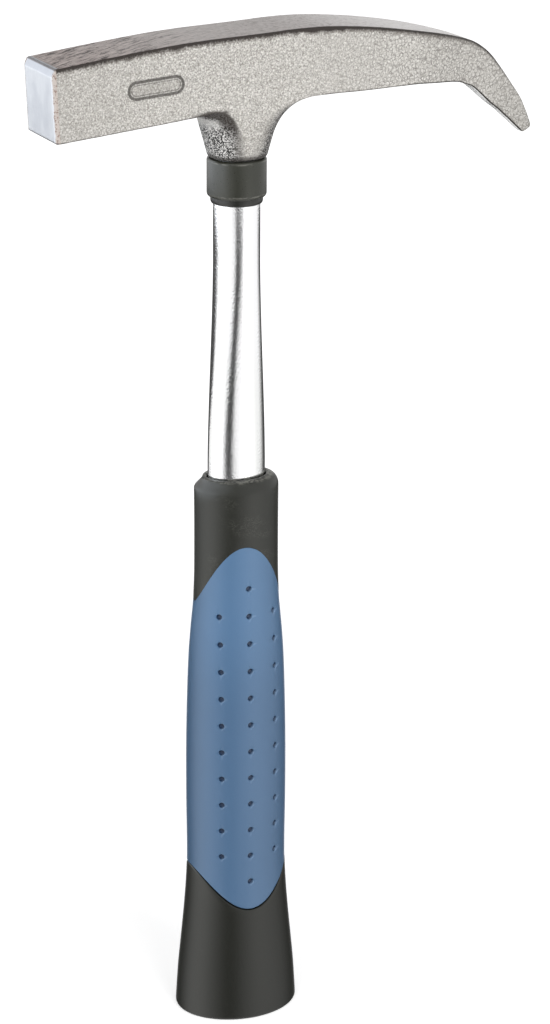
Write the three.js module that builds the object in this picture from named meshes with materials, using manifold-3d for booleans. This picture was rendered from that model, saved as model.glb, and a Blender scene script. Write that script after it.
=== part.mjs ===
// Manhole cover hammer: a forged head with a square poll and a hooked beak, on a
// steel tube handle with a two-colour moulded grip. It stands on the butt of the grip.
// Millimetres. +Z runs up the handle, +X points to the beak, -Y is the front cheek.
// The origin is the middle of the butt's flat underside.

import * as THREE from 'three';
import { mergeVertices } from 'three/addons/utils/BufferGeometryUtils.js';
import Module from 'manifold-3d';

const wasm = await Module();
wasm.setup();

// Whole hammer
const overallHeight = 366.6;
const seatGap = 0.3;
const cutOverrun = 4;

// Head
const pollReach = 73.1;
const beakReach = 115.9;
const beakDrop = 46.3;
const headThickness = 25;
const headEdgeRadius = 1.4;
const pollTopChamfer = 2.4;
const pollSideChamfer = 1.5;
const pollBottomChamfer = 0.6;
const beakTipRound = 1;

// Each row is one cut through the beam, from the poll's striking face to the beak's tip:
// reach and drop of the top edge, reach and drop of the bottom edge, and thickness.
// A reach is a share of pollReach where it is negative and of beakReach where it is
// positive. Drops are shares of beakDrop below the crown, thickness of headThickness.
const beamRowShares = [
  [-1, 0.127, -0.984, 0.682, 1],
  [-0.666, 0.077, -0.657, 0.64, 1],
  [-0.329, 0.032, -0.328, 0.593, 1],
  [0.009, 0.013, 0, 0.539, 1],
  [0.217, 0, 0.213, 0.513, 1],
  [0.399, 0.039, 0.382, 0.512, 1],
  [0.57, 0.111, 0.541, 0.508, 1],
  [0.678, 0.172, 0.635, 0.526, 0.72],
  [0.762, 0.24, 0.72, 0.553, 0.46],
  [0.803, 0.295, 0.752, 0.584, 0.36],
  [0.841, 0.373, 0.777, 0.608, 0.31],
  [0.878, 0.481, 0.805, 0.664, 0.27],
  [0.917, 0.607, 0.843, 0.747, 0.23],
  [0.958, 0.745, 0.882, 0.832, 0.19],
  [1, 0.958, 0.957, 0.993, 0.15],
];
const stepsBetweenRows = 3;
const cornerSteps = 2;

// Blank stamped panel on the front cheek
const panelLength = 20.4;
const panelHeight = 6.1;
const panelDepth = 0.4;
const panelReachShare = 0.484;
const panelDropShare = 0.337;
const panelTilt = THREE.MathUtils.degToRad(3.5);

// Handle tube: an oval stock tube whose upper end is swaged round
const tubeTopRadius = 8.2;
const tubeWall = 1.5;
const ovalHalfWidth = 10.5;
const ovalHalfDepth = 7.5;
const swageRise = 5;
const roundLength = 20.8;
const tubeFootHeight = 24;
const wedgeSlotWidth = 1.6;
const wedgeSlotLength = 18;

// Neck under the head, with the blind socket that takes the tube
const neckDrop = 44.6;
const neckWall = 1.9;
const neckPollNarrowing = 0.4;
const socketDepth = 30;
const neckUndersideDrop = 23.4;
const neckWidthSlope = 0.28;
const neckDepthSlope = 0.25;
const beakFilletRadius = 14;
const pollFilletRadius = 8;
const neckFootChamfer = 0.7;

// Collar below the neck, and the ring inside its lower end
const collarLength = 12.3;
const collarChamfer = 0.8;
const collarEndChamfer = 1.2;
const ringWall = 0.65;
const ringShow = 2.4;
const ringHold = 8;
const ringEndRound = 1.2;

// Wedge plug in the tube's top and stopper in its foot
const wedgeLength = 14;
const wedgeTaper = 0.5;
const stopperLength = 12;

// Grip: its section is an ellipse, wide along the head and shallow across it
const gripLength = 207;
const buttHalfWidth = 22.9;
const bodyHalfWidth = 18.6;
const topHalfWidth = 15.35;
const gripDepthShare = 0.825;
const buttEdgeRadius = 1.6;
const rimRound = 4.2;
const rimNarrowing = 3;
const rimSlope = 0.3;
const gripTurn = THREE.MathUtils.degToRad(-4.4);

// Half width up the grip. Each row is a share of gripLength, how far the width has gone
// from the body's to the butt's, and how far it has gone from the body's to the top's.
const gripOutlineShares = [
  [0, 1, 0],
  [0.07, 0.78, 0],
  [0.126, 0.52, 0],
  [0.181, 0.27, 0],
  [0.237, 0.06, 0],
  [0.29, 0, 0.06],
  [0.4, 0, 0],
  [0.5, 0, 0.01],
  [0.59, 0, 0.12],
  [0.67, 0, 0.31],
  [0.72, 0, 0.54],
  [0.775, 0, 0.86],
  [0.83, 0, 1],
  [1, 0, 1],
];

// Soft sleeve let into the grip. Its ends are arched over the grip's two broad faces.
const sleeveThickness = 2.2;
const sleeveEdgeChamfer = 0.45;
const upperEdgeDepth = 46.5;
const upperArchRise = 22.7;
const upperEdgePower = 1.6;
const upperEdgeTurn = THREE.MathUtils.degToRad(-4.5);
const lowerEdgeHeight = 58.2;
const lowerArchDrop = 15;
const lowerEdgePower = 2.3;
const gripSides = 44;

// Rows of small round pits in the sleeve
const pitPitch = 10.28;
const pitRadius = 0.85;
const pitDepth = 0.8;
const pitSides = 6;
const lowestPitRise = 11.2;
const highestPitDrop = 12;
const outerPitSpacing = 10.5;

// Facets round a turned piece, up its rounded edges, and steps along the swaged length
const turnedSides = 36;
const edgeSteps = 3;
const swageSteps = 8;

// Heights and radii that follow from the sizes above
const neckFootHeight = overallHeight - neckDrop;
const socketRadius = tubeTopRadius + seatGap;
const neckFootRadius = socketRadius + neckWall;
const socketTopHeight = neckFootHeight + socketDepth;
const tubeTopHeight = socketTopHeight - seatGap;
const collarTopHeight = neckFootHeight - seatGap;
const collarFootHeight = collarTopHeight - collarLength - collarEndChamfer;
const ringRadius = socketRadius + ringWall;
const ringFootHeight = collarFootHeight - ringShow;
const swageStartHeight = gripLength + swageRise;
const swageEndHeight = ringFootHeight - roundLength;
const boreFloorHeight = tubeFootHeight - seatGap;
const upperEdgeLow = gripLength - upperEdgeDepth;
const upperEdgeHigh = upperEdgeLow + upperArchRise;
const lowerEdgeLow = lowerEdgeHeight - lowerArchDrop;
const lowestPitHeight = lowerEdgeLow + lowestPitRise;
const pitRows = Math.floor((upperEdgeHigh - highestPitDrop - lowestPitHeight) / pitPitch) + 1;

const steel = new THREE.MeshStandardMaterial({ color: 0xc5c1ba, roughness: 0.55, metalness: 1 });
const chromed = new THREE.MeshStandardMaterial({ color: 0xe6e7ea, roughness: 0.12, metalness: 1 });
const rawSteel = new THREE.MeshStandardMaterial({ color: 0x8d8f92, roughness: 0.4, metalness: 1 });
const collarPlastic = new THREE.MeshStandardMaterial({ color: 0x2a2b27, roughness: 0.45, metalness: 0 });
const plugPlastic = new THREE.MeshStandardMaterial({ color: 0x3c3d3b, roughness: 0.6, metalness: 0 });
const blackPlastic = new THREE.MeshStandardMaterial({ color: 0x3a3b37, roughness: 0.5, metalness: 0 });
const blueRubber = new THREE.MeshStandardMaterial({ color: 0x4f7fbd, roughness: 0.5, metalness: 0 });

// A closed mesh as a solid that can be cut and joined
function toSolid(geometry) {
  geometry.deleteAttribute('normal');
  geometry.deleteAttribute('uv');
  const merged = mergeVertices(geometry);
  const vertProperties = new Float32Array(merged.attributes.position.array);
  const triVerts = new Uint32Array(merged.index.array);
  return new wasm.Manifold(new wasm.Mesh({ numProp: 3, vertProperties, triVerts }));
}

function toGeometry(solid) {
  const mesh = solid.getMesh();
  const geometry = new THREE.BufferGeometry();
  geometry.setAttribute('position', new THREE.BufferAttribute(mesh.vertProperties, 3));
  geometry.setIndex(new THREE.BufferAttribute(mesh.triVerts, 1));
  geometry.computeVertexNormals();
  return geometry;
}

function namedMesh(name, geometry, material) {
  const mesh = new THREE.Mesh(geometry, material);
  mesh.name = name;
  return mesh;
}

// A skin over rings of points. Each ring runs anticlockwise seen against the direction in
// which the rings follow each other. The ends are capped, or the last ring joins the first.
function skinOverRings(rings, joinEnds) {
  const count = rings[0].length;
  const points = rings.flat();
  const index = [];
  const bands = joinEnds ? rings.length : rings.length - 1;
  for (let band = 0; band < bands; band += 1) {
    const low = band * count;
    const high = ((band + 1) % rings.length) * count;
    for (let side = 0; side < count; side += 1) {
      const next = (side + 1) % count;
      index.push(low + side, low + next, high + next);
      index.push(low + side, high + next, high + side);
    }
  }
  if (!joinEnds) {
    const last = (rings.length - 1) * count;
    const firstMiddle = points.push(middleOf(rings[0])) - 1;
    const lastMiddle = points.push(middleOf(rings[rings.length - 1])) - 1;
    for (let side = 0; side < count; side += 1) {
      const next = (side + 1) % count;
      index.push(firstMiddle, next, side);
      index.push(lastMiddle, last + side, last + next);
    }
  }
  const geometry = new THREE.BufferGeometry().setFromPoints(points);
  geometry.setIndex(index);
  geometry.computeVertexNormals();
  return geometry;
}

function middleOf(ring) {
  const middle = new THREE.Vector3();
  ring.forEach((point) => middle.add(point));
  return middle.divideScalar(ring.length);
}

// A turned piece from a closed outline of radius and height, listed anticlockwise
function turned(outline) {
  const points = outline.map(([radius, height]) => new THREE.Vector2(radius, height));
  points.push(points[0].clone());
  return new THREE.LatheGeometry(points, turnedSides).rotateX(Math.PI / 2);
}

// A solid cylinder along Z between two heights
function roundBar(radius, low, high, sides) {
  const bar = new THREE.CylinderGeometry(radius, radius, high - low, sides);
  return bar.rotateX(Math.PI / 2).translate(0, 0, (low + high) / 2);
}

// Beam of the head
function beamRows() {
  return beamRowShares.map(([topReach, topDrop, bottomReach, bottomDrop, thickness]) => [
    topReach * (topReach < 0 ? pollReach : beakReach),
    overallHeight - topDrop * beakDrop,
    bottomReach * (bottomReach < 0 ? pollReach : beakReach),
    overallHeight - bottomDrop * beakDrop,
    thickness * headThickness,
  ]);
}

// The rows are joined by smooth curves over the distance between their middles
function beamStations() {
  const rows = beamRows();
  const middles = rows.map((row) => new THREE.Vector2(row[0] + row[2], row[1] + row[3]).divideScalar(2));
  const distances = [0];
  for (let i = 1; i < rows.length; i += 1) {
    distances.push(distances[i - 1] + middles[i].distanceTo(middles[i - 1]));
  }
  const curve = new THREE.CubicInterpolant(distances, rows.flat(), rows[0].length);
  const stations = [];
  for (let i = 0; i < rows.length - 1; i += 1) {
    for (let step = 0; step < stepsBetweenRows; step += 1) {
      const distance = THREE.MathUtils.lerp(distances[i], distances[i + 1], step / stepsBetweenRows);
      const [topX, topZ, bottomX, bottomZ, thickness] = curve.evaluate(distance);
      stations.push([topX, topZ, bottomX, bottomZ, Math.min(thickness, headThickness)]);
    }
  }
  stations.push(rows[rows.length - 1]);
  return stations;
}

// One cut through the beam: a rectangle with rounded corners, drawn in from the beam's
// outline by an inset at its top, its bottom and its two sides
function beamRing([topX, topZ, bottomX, bottomZ, thickness], insetTop, insetBottom, insetSide) {
  const top = new THREE.Vector2(topX, topZ);
  const bottom = new THREE.Vector2(bottomX, bottomZ);
  const height = top.distanceTo(bottom);
  const up = top.clone().sub(bottom).divideScalar(height);
  const halfSide = thickness / 2 - insetSide;
  const low = insetBottom;
  const high = height - insetTop;
  const radius = Math.min(headEdgeRadius, halfSide / 2, (high - low) / 4);
  const corners = [
    [halfSide - radius, low + radius, -Math.PI / 2],
    [halfSide - radius, high - radius, 0],
    [radius - halfSide, high - radius, Math.PI / 2],
    [radius - halfSide, low + radius, Math.PI],
  ];
  const ring = [];
  corners.forEach(([across, rise, startAngle]) => {
    for (let step = 0; step <= cornerSteps; step += 1) {
      const angle = startAngle + (Math.PI / 2) * (step / cornerSteps);
      const y = across + radius * Math.cos(angle);
      const along = rise + radius * Math.sin(angle);
      ring.push(new THREE.Vector3(bottom.x + up.x * along, y, bottom.y + up.y * along));
    }
  });
  return ring;
}

function beamGeometry() {
  const stations = beamStations();
  const face = stations[0];
  const tip = stations[stations.length - 1];
  const rings = [beamRing(face, pollTopChamfer, pollBottomChamfer, pollSideChamfer)];
  rings.push(beamRing(movedStation(face, pollSideChamfer, 0), 0, 0, 0));
  stations.slice(1).forEach((station) => rings.push(beamRing(station, 0, 0, 0)));
  rings.push(beamRing(movedStation(tip, 0, -beakTipRound), beakTipRound, beakTipRound, beakTipRound / 2));
  return skinOverRings(rings, false);
}

function movedStation([topX, topZ, bottomX, bottomZ, thickness], alongX, alongZ) {
  return [topX + alongX, topZ + alongZ, bottomX + alongX, bottomZ + alongZ, thickness];
}

// How far the neck stands out past its cone at a height, along a fillet of one radius
function filletSpread(rise, filletRadius) {
  const beyond = rise - (neckDrop - neckUndersideDrop - filletRadius);
  const reach = THREE.MathUtils.clamp(beyond, 0, filletRadius);
  return filletRadius - Math.sqrt(filletRadius * filletRadius - reach * reach);
}

function neckRing(rise, inset) {
  const alongRadius = neckFootRadius - inset + neckWidthSlope * rise;
  const beakHalf = alongRadius + filletSpread(rise, beakFilletRadius);
  const pollHalf = alongRadius - neckPollNarrowing + filletSpread(rise, pollFilletRadius);
  const depthHalf = neckFootRadius - inset + neckDepthSlope * rise + filletSpread(rise, pollFilletRadius);
  const ring = [];
  for (let side = 0; side < turnedSides; side += 1) {
    const angle = (2 * Math.PI * side) / turnedSides;
    const reach = Math.cos(angle) > 0 ? beakHalf : pollHalf;
    ring.push(new THREE.Vector3(reach * Math.cos(angle), depthHalf * Math.sin(angle), neckFootHeight + rise));
  }
  return ring;
}

// The neck is trimmed flush with the cheeks, so that they run down into it
function neckSolid() {
  const fullRise = neckDrop - neckUndersideDrop;
  const rings = [neckRing(0, neckFootChamfer), neckRing(neckFootChamfer, 0)];
  const riseShares = [0.2, 0.4, 0.52, 0.63, 0.73, 0.82, 0.9, 0.96, 1];
  riseShares.forEach((share) => rings.push(neckRing(share * fullRise, 0)));
  const top = neckRing(fullRise, 0);
  top.forEach((point) => point.setZ(point.z + headEdgeRadius * 2));
  rings.push(top);
  const neck = toSolid(skinOverRings(rings, false));
  const slab = new THREE.BoxGeometry(beakReach, headThickness, neckDrop + cutOverrun);
  slab.translate(0, 0, neckFootHeight + neckDrop / 2);
  return neck.intersect(toSolid(slab));
}

function panelCutter() {
  const endRadius = panelHeight / 2;
  const halfLength = panelLength / 2 - endRadius;
  const outline = new THREE.Shape();
  outline.absarc(halfLength, 0, endRadius, -Math.PI / 2, Math.PI / 2);
  outline.absarc(-halfLength, 0, endRadius, Math.PI / 2, 1.5 * Math.PI);
  outline.closePath();
  const depth = panelDepth + cutOverrun;
  const cutter = new THREE.ExtrudeGeometry(outline, { depth, bevelEnabled: false, curveSegments: 6 });
  cutter.rotateX(Math.PI / 2).rotateY(-panelTilt);
  const height = overallHeight - panelDropShare * beakDrop;
  return toSolid(cutter.translate(-panelReachShare * pollReach, panelDepth - headThickness / 2, height));
}

function hammerHead() {
  const socket = toSolid(roundBar(socketRadius, neckFootHeight - cutOverrun, socketTopHeight, turnedSides));
  const blank = toSolid(beamGeometry()).add(neckSolid());
  return namedMesh('hammer_head', toGeometry(blank.subtract(socket).subtract(panelCutter())), steel);
}

// Half width and half depth of the tube's outside at a height
function tubeHalves(height) {
  const swaged = THREE.MathUtils.clamp(
    (height - swageStartHeight) / (swageEndHeight - swageStartHeight), 0, 1);
  return [
    THREE.MathUtils.lerp(ovalHalfWidth, tubeTopRadius, swaged),
    THREE.MathUtils.lerp(ovalHalfDepth, tubeTopRadius, swaged),
  ];
}

// An oval ring that is parallel to the tube's outside at a height
function tubeRing(height, offset, sides) {
  const [halfWidth, halfDepth] = tubeHalves(height);
  const ring = [];
  for (let side = 0; side < sides; side += 1) {
    const angle = (2 * Math.PI * side) / sides;
    ring.push(new THREE.Vector3(
      (halfWidth + offset) * Math.cos(angle), (halfDepth + offset) * Math.sin(angle), height));
  }
  return ring;
}

// The oval part of the tube lies in the grip, so the tube is turned with the grip
function turnedWithGrip(ring) {
  const up = new THREE.Vector3(0, 0, 1);
  return ring.map((point) => point.clone().applyAxisAngle(up, gripTurn));
}

function handleTube() {
  const heights = [tubeFootHeight, swageStartHeight];
  for (let step = 1; step <= swageSteps; step += 1) {
    heights.push(THREE.MathUtils.lerp(swageStartHeight, swageEndHeight, step / swageSteps));
  }
  heights.push(tubeTopHeight);
  const outside = heights.map((height) => tubeRing(height, 0, turnedSides));
  const inside = heights.map((height) => tubeRing(height, -tubeWall, turnedSides)).reverse();
  const tube = toSolid(skinOverRings([...outside, ...inside].map(turnedWithGrip), true));
  const slot = new THREE.BoxGeometry(wedgeSlotWidth, 2 * tubeTopRadius + cutOverrun, wedgeSlotLength + cutOverrun);
  slot.translate(0, 0, tubeTopHeight + (cutOverrun - wedgeSlotLength) / 2);
  return namedMesh('handle_tube', toGeometry(tube.subtract(toSolid(slot))), chromed);
}

function wedgePlug() {
  const radius = tubeTopRadius - tubeWall - seatGap;
  const foot = tubeTopHeight - wedgeLength;
  const outline = [[0, foot], [radius - wedgeTaper, foot], [radius, tubeTopHeight], [0, tubeTopHeight]];
  return namedMesh('wedge_plug', turned(outline), rawSteel);
}

function footStopper() {
  const low = tubeRing(tubeFootHeight, -tubeWall - seatGap, turnedSides);
  const high = tubeRing(tubeFootHeight + stopperLength, -tubeWall - seatGap, turnedSides);
  return namedMesh('foot_stopper', skinOverRings([low, high].map(turnedWithGrip), false), plugPlastic);
}

function neckCollar() {
  const outer = neckFootRadius;
  const bore = socketRadius;
  const ringSeat = ringRadius + seatGap;
  const ringTop = collarFootHeight + ringHold;
  return namedMesh('neck_collar', turned([
    [outer - collarEndChamfer / 2, collarFootHeight],
    [outer, collarFootHeight + collarEndChamfer],
    [outer, collarTopHeight - collarChamfer],
    [outer - collarChamfer, collarTopHeight],
    [bore, collarTopHeight],
    [bore, ringTop],
    [ringSeat, ringTop],
    [ringSeat, collarFootHeight],
  ]), collarPlastic);
}

function collarRing() {
  const high = collarFootHeight + ringHold - seatGap;
  const outline = [[socketRadius, ringFootHeight]];
  for (let step = 0; step <= edgeSteps; step += 1) {
    const angle = (Math.PI / 2) * (step / edgeSteps);
    outline.push([
      ringRadius - (ringWall / 2) * (1 - Math.sin(angle)),
      ringFootHeight + ringEndRound * (1 - Math.cos(angle)),
    ]);
  }
  outline.push([ringRadius, high], [socketRadius, high]);
  return namedMesh('collar_ring', turned(outline), collarPlastic);
}

// Grip outline: half width against height, as one smooth curve
const gripOutline = new THREE.CubicInterpolant(
  gripOutlineShares.map(([rise]) => rise * gripLength),
  gripOutlineShares.map(([, flare, narrowing]) => (
    bodyHalfWidth + flare * (buttHalfWidth - bodyHalfWidth) - narrowing * (bodyHalfWidth - topHalfWidth))),
  1);

// A point of the grip at an angle from its front face, sunk below its surface by an inset
function gripPoint(angle, height, inset) {
  const halfWidth = gripOutline.evaluate(height)[0];
  const across = (halfWidth - inset) * Math.sin(angle);
  const forward = (halfWidth * gripDepthShare - inset) * Math.cos(angle);
  return new THREE.Vector3(across, -forward, height);
}

function upperEdgeAt(angle) {
  const rise = Math.pow(Math.abs(Math.cos(angle - upperEdgeTurn)), upperEdgePower);
  return THREE.MathUtils.lerp(upperEdgeLow, upperEdgeHigh, rise);
}

function lowerEdgeAt(angle) {
  const drop = Math.pow(Math.abs(Math.cos(angle)), lowerEdgePower);
  return THREE.MathUtils.lerp(lowerEdgeHeight, lowerEdgeLow, drop);
}

// A ring of the grip from a function of the angle that gives a height and an inset
function gripRing(placeAt) {
  const ring = [];
  for (let side = 0; side < gripSides; side += 1) {
    const angle = (2 * Math.PI * side) / gripSides;
    const [height, inset] = placeAt(angle);
    ring.push(gripPoint(angle, height, inset));
  }
  return ring;
}

// The bore of the grip follows the tube's oval, starting from the front face as above
function boreRing(height) {
  const [halfWidth, halfDepth] = tubeHalves(height);
  const ring = [];
  for (let side = 0; side < gripSides; side += 1) {
    const angle = (2 * Math.PI * side) / gripSides;
    const across = (halfWidth + seatGap) * Math.sin(angle);
    ring.push(new THREE.Vector3(across, -(halfDepth + seatGap) * Math.cos(angle), height));
  }
  return ring;
}

function gripCore() {
  const recess = sleeveThickness + seatGap;
  const rings = [];
  for (let step = 0; step <= edgeSteps; step += 1) {
    const angle = (Math.PI / 2) * (step / edgeSteps);
    const height = buttEdgeRadius * (1 - Math.cos(angle));
    const inset = buttEdgeRadius * (1 - Math.sin(angle));
    rings.push(gripRing(() => [height, inset]));
  }
  const buttShares = [0.35, 0.7, 1];
  buttShares.forEach((share) => rings.push(gripRing((angle) => (
    [THREE.MathUtils.lerp(buttEdgeRadius, lowerEdgeAt(angle), share), 0]))));
  const recessShares = [0, 0.2, 0.4, 0.6, 0.75, 0.9, 1];
  recessShares.forEach((share) => rings.push(gripRing((angle) => (
    [THREE.MathUtils.lerp(lowerEdgeAt(angle), upperEdgeAt(angle), share), recess]))));
  const rimFoot = gripLength - rimSlope - rimRound;
  const topShares = [0, 0.5, 1];
  topShares.forEach((share) => rings.push(gripRing((angle) => (
    [THREE.MathUtils.lerp(upperEdgeAt(angle), rimFoot, share), 0]))));
  for (let step = 1; step <= edgeSteps; step += 1) {
    const angle = (Math.PI / 2) * (step / edgeSteps);
    const height = rimFoot + rimRound * Math.sin(angle);
    const inset = rimNarrowing * (1 - Math.cos(angle));
    rings.push(gripRing(() => [height, inset]));
  }
  rings.push(boreRing(gripLength), boreRing(boreFloorHeight));
  const core = namedMesh('grip_core', skinOverRings(rings, false), blackPlastic);
  core.rotation.z = gripTurn;
  return core;
}

// Short bars that sink the pits, on the front face and half a turn round on the back face.
// The outer columns keep one distance from the middle one, and leave out the end rows.
function pitCutters() {
  const cutters = [];
  const columns = [[0, 0], [outerPitSpacing, 1], [-outerPitSpacing, 1]];
  columns.forEach(([spacing, rowsLeftOut]) => {
    for (let row = rowsLeftOut; row < pitRows - rowsLeftOut; row += 1) {
      const height = lowestPitHeight + row * pitPitch;
      const angle = Math.asin(spacing / gripOutline.evaluate(height)[0]);
      [0, Math.PI].forEach((faceAngle) => cutters.push(pitCutter(angle + faceAngle, height)));
    }
  });
  return cutters;
}

function pitCutter(angle, height) {
  const surface = gripPoint(angle, height, 0);
  const beside = gripPoint(angle + Math.PI / turnedSides, height, 0);
  const outward = beside.sub(surface).normalize().cross(new THREE.Vector3(0, 0, 1));
  const length = pitDepth + pitRadius;
  const bar = new THREE.CylinderGeometry(pitRadius, pitRadius, length, pitSides);
  bar.applyQuaternion(new THREE.Quaternion().setFromUnitVectors(new THREE.Vector3(0, 1, 0), outward));
  const middle = surface.addScaledVector(outward, length / 2 - pitDepth);
  return toSolid(bar.translate(middle.x, middle.y, middle.z));
}

function gripSleeve() {
  const spanShares = [0, 0.06, 0.14, 0.24, 0.36, 0.5, 0.6, 0.68, 0.76, 0.83, 0.88, 0.93, 0.97, 1];
  const heightAt = (angle, share, clear) => THREE.MathUtils.lerp(
    lowerEdgeAt(angle) + clear, upperEdgeAt(angle) - clear, share);
  const rings = [];
  rings.push(gripRing((angle) => [heightAt(angle, 0, seatGap), sleeveEdgeChamfer]));
  spanShares.forEach((share) => rings.push(gripRing((angle) => (
    [heightAt(angle, share, seatGap + sleeveEdgeChamfer), 0]))));
  rings.push(gripRing((angle) => [heightAt(angle, 1, seatGap), sleeveEdgeChamfer]));
  const insideShares = [1, 0.9, 0.75, 0.6, 0.4, 0.2, 0];
  insideShares.forEach((share) => rings.push(gripRing((angle) => (
    [heightAt(angle, share, seatGap), sleeveThickness]))));
  let sleeve = toSolid(skinOverRings(rings, true));
  pitCutters().forEach((cutter) => {
    sleeve = sleeve.subtract(cutter);
  });
  const mesh = namedMesh('grip_sleeve', toGeometry(sleeve), blueRubber);
  mesh.rotation.z = gripTurn;
  return mesh;
}

const hammer = new THREE.Group();
hammer.add(hammerHead());
hammer.add(handleTube(), wedgePlug(), footStopper());
hammer.add(neckCollar(), collarRing());
hammer.add(gripCore(), gripSleeve());

export default hammer;
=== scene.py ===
import math
from functools import cached_property

import bpy
import numpy as np
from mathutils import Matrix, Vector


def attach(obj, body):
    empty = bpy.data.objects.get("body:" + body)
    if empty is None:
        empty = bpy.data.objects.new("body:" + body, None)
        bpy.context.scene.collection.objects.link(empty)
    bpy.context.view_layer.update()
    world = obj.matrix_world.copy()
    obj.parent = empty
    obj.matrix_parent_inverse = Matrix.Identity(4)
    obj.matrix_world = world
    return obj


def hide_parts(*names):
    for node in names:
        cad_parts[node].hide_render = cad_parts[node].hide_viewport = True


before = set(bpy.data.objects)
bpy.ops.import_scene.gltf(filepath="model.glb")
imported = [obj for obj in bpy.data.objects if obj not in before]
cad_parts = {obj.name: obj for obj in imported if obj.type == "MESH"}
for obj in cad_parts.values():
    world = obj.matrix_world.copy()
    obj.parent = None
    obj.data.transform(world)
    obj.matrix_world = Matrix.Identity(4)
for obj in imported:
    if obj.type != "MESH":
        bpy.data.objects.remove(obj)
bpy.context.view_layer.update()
print("frame loaded:", ", ".join(sorted(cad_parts)))


# Mesh helpers: every shape below is worked out in millimetres and stored in metres

def smoothStep(low, high, value):  # 0 below low, 1 above high, 3t^2 - 2t^3 between them
    share = np.clip((value - low) / (high - low), 0.0, 1.0)
    return share * share * (3.0 - 2.0 * share)


# Smooth curve through rows of values: between two rows a cubic whose slope at each row is
# the straight slope between the rows on its two sides
def curveThrough(rows, places, wanted):
    places, rows, wanted = (np.asarray(given, float) for given in (places, rows, wanted))
    slopes = np.zeros_like(rows)
    slopes[1:-1] = (rows[2:] - rows[:-2]) / (places[2:] - places[:-2])[:, None]
    first, last = np.diff(rows[:2], axis=0)[0], np.diff(rows[-2:], axis=0)[0]
    slopes[0] = 1.5 * first / (places[1] - places[0]) - 0.5 * slopes[1]
    slopes[-1] = 1.5 * last / (places[-1] - places[-2]) - 0.5 * slopes[-2]
    span = np.clip(np.searchsorted(places, wanted, side="right") - 1, 0, len(places) - 2)
    width = (places[span + 1] - places[span])[:, None]
    t = ((wanted - places[span]) / width[:, 0])[:, None]
    return (rows[span] * (2 * t ** 3 - 3 * t ** 2 + 1) + slopes[span] * width * (t ** 3 - 2 * t ** 2 + t)
            + rows[span + 1] * (3 * t ** 2 - 2 * t ** 3) + slopes[span + 1] * width * (t ** 3 - t ** 2))


# Smooth random field in space: a lattice of random values, one every `size` mm, mixed by
# the smooth step of the place inside its cell. It runs from -1 to 1.
def softNoise(points, size, seed):
    table = np.random.default_rng(seed).uniform(-1.0, 1.0, 4096)
    scaled = points / size
    cell = np.floor(scaled).astype(np.int64)
    part = scaled - cell
    part = part * part * (3.0 - 2.0 * part)
    total = np.zeros(points.shape[:-1])
    for corner in range(8):
        offset = np.array([corner & 1, (corner >> 1) & 1, (corner >> 2) & 1])
        place = cell + offset
        key = (place[..., 0] * 73856093) ^ (place[..., 1] * 19349663) ^ (place[..., 2] * 83492791)
        weight = np.prod(np.where(offset == 1, part, 1.0 - part), axis=-1)
        total += weight * table[key % 4096]
    return total


# Points in mm and sets of faces of one size each become an object at the origin, in metres
def meshPiece(name, points, faceSets, sharpAngle=None):
    mesh = bpy.data.meshes.new(name)
    loops = np.concatenate([faces.ravel() for faces in faceSets]).astype(np.int32)
    sizes = np.concatenate([np.full(len(faces), faces.shape[1]) for faces in faceSets])
    starts = np.concatenate([[0], np.cumsum(sizes)[:-1]]).astype(np.int32)
    mesh.vertices.add(len(points))
    mesh.vertices.foreach_set("co", (points * 0.001).astype(np.float32).ravel())
    mesh.loops.add(len(loops))
    mesh.loops.foreach_set("vertex_index", loops)
    mesh.polygons.add(len(starts))
    mesh.polygons.foreach_set("loop_start", starts)
    mesh.polygons.foreach_set("use_smooth", np.ones(len(starts), bool))
    mesh.update(calc_edges=True)
    if sharpAngle is not None:
        mesh.set_sharp_from_angle(angle=math.radians(sharpAngle))
    piece = bpy.data.objects.new(name, mesh)
    bpy.context.scene.collection.objects.link(piece)
    return piece


def paintAttribute(piece, name, values):  # one number per vertex, which a material reads by name
    layer = piece.data.attributes.new(name, "FLOAT", "POINT")
    layer.data.foreach_set("value", values.astype(np.float32))


# Faces of a closed skin over rings numbered (rows, sides): each ring joins the next by quads.
# The end rings close on a middle point each, or join each other where the skin is a loop.
def skinFaces(rows, sides, loop=False):
    index = np.arange(rows * sides).reshape(rows, sides)
    low, high = (index, np.roll(index, -1, axis=0)) if loop else (index[:-1], index[1:])
    quads = np.stack([low, np.roll(low, -1, 1), np.roll(high, -1, 1), high], axis=-1).reshape(-1, 4)
    if loop:
        return [quads]
    first, last = index[0], index[-1]
    foot, top = np.full(sides, rows * sides), np.full(sides, rows * sides + 1)
    caps = np.concatenate([np.stack([foot, np.roll(first, -1), first], 1),
                           np.stack([top, last, np.roll(last, -1)], 1)])
    return [quads, caps]


# Rings (rows, sides, 3) become a closed skin. The middle point of an end is the mean of its ring.
def skinPiece(name, rings, loop=False, sharpAngle=35):
    rows, sides, _ = rings.shape
    points = rings.reshape(-1, 3)
    if not loop:
        points = np.concatenate([points, rings[0].mean(0)[None], rings[-1].mean(0)[None]])
    return meshPiece(name, points, skinFaces(rows, sides, loop), sharpAngle)


# A turned piece: a closed outline of (radius, height), anticlockwise, carried round Z
def turnedPiece(name, outline, sides=144, sharpAngle=35):
    outline = np.asarray(outline, float)
    angle = np.arange(sides) * 2 * math.pi / sides
    rings = np.stack([outline[:, :1] * np.cos(angle), outline[:, :1] * np.sin(angle),
                      np.repeat(outline[:, 1:], sides, axis=1)], axis=-1)
    return skinPiece(name, rings, loop=True, sharpAngle=sharpAngle)


# Turned about Z: x becomes x cos - y sin, and y becomes x sin + y cos
def turnAboutZ(points, degrees):
    c, s = math.cos(math.radians(degrees)), math.sin(math.radians(degrees))
    return points @ np.array([[c, s, 0.0], [-s, c, 0.0], [0.0, 0.0, 1.0]])


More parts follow.
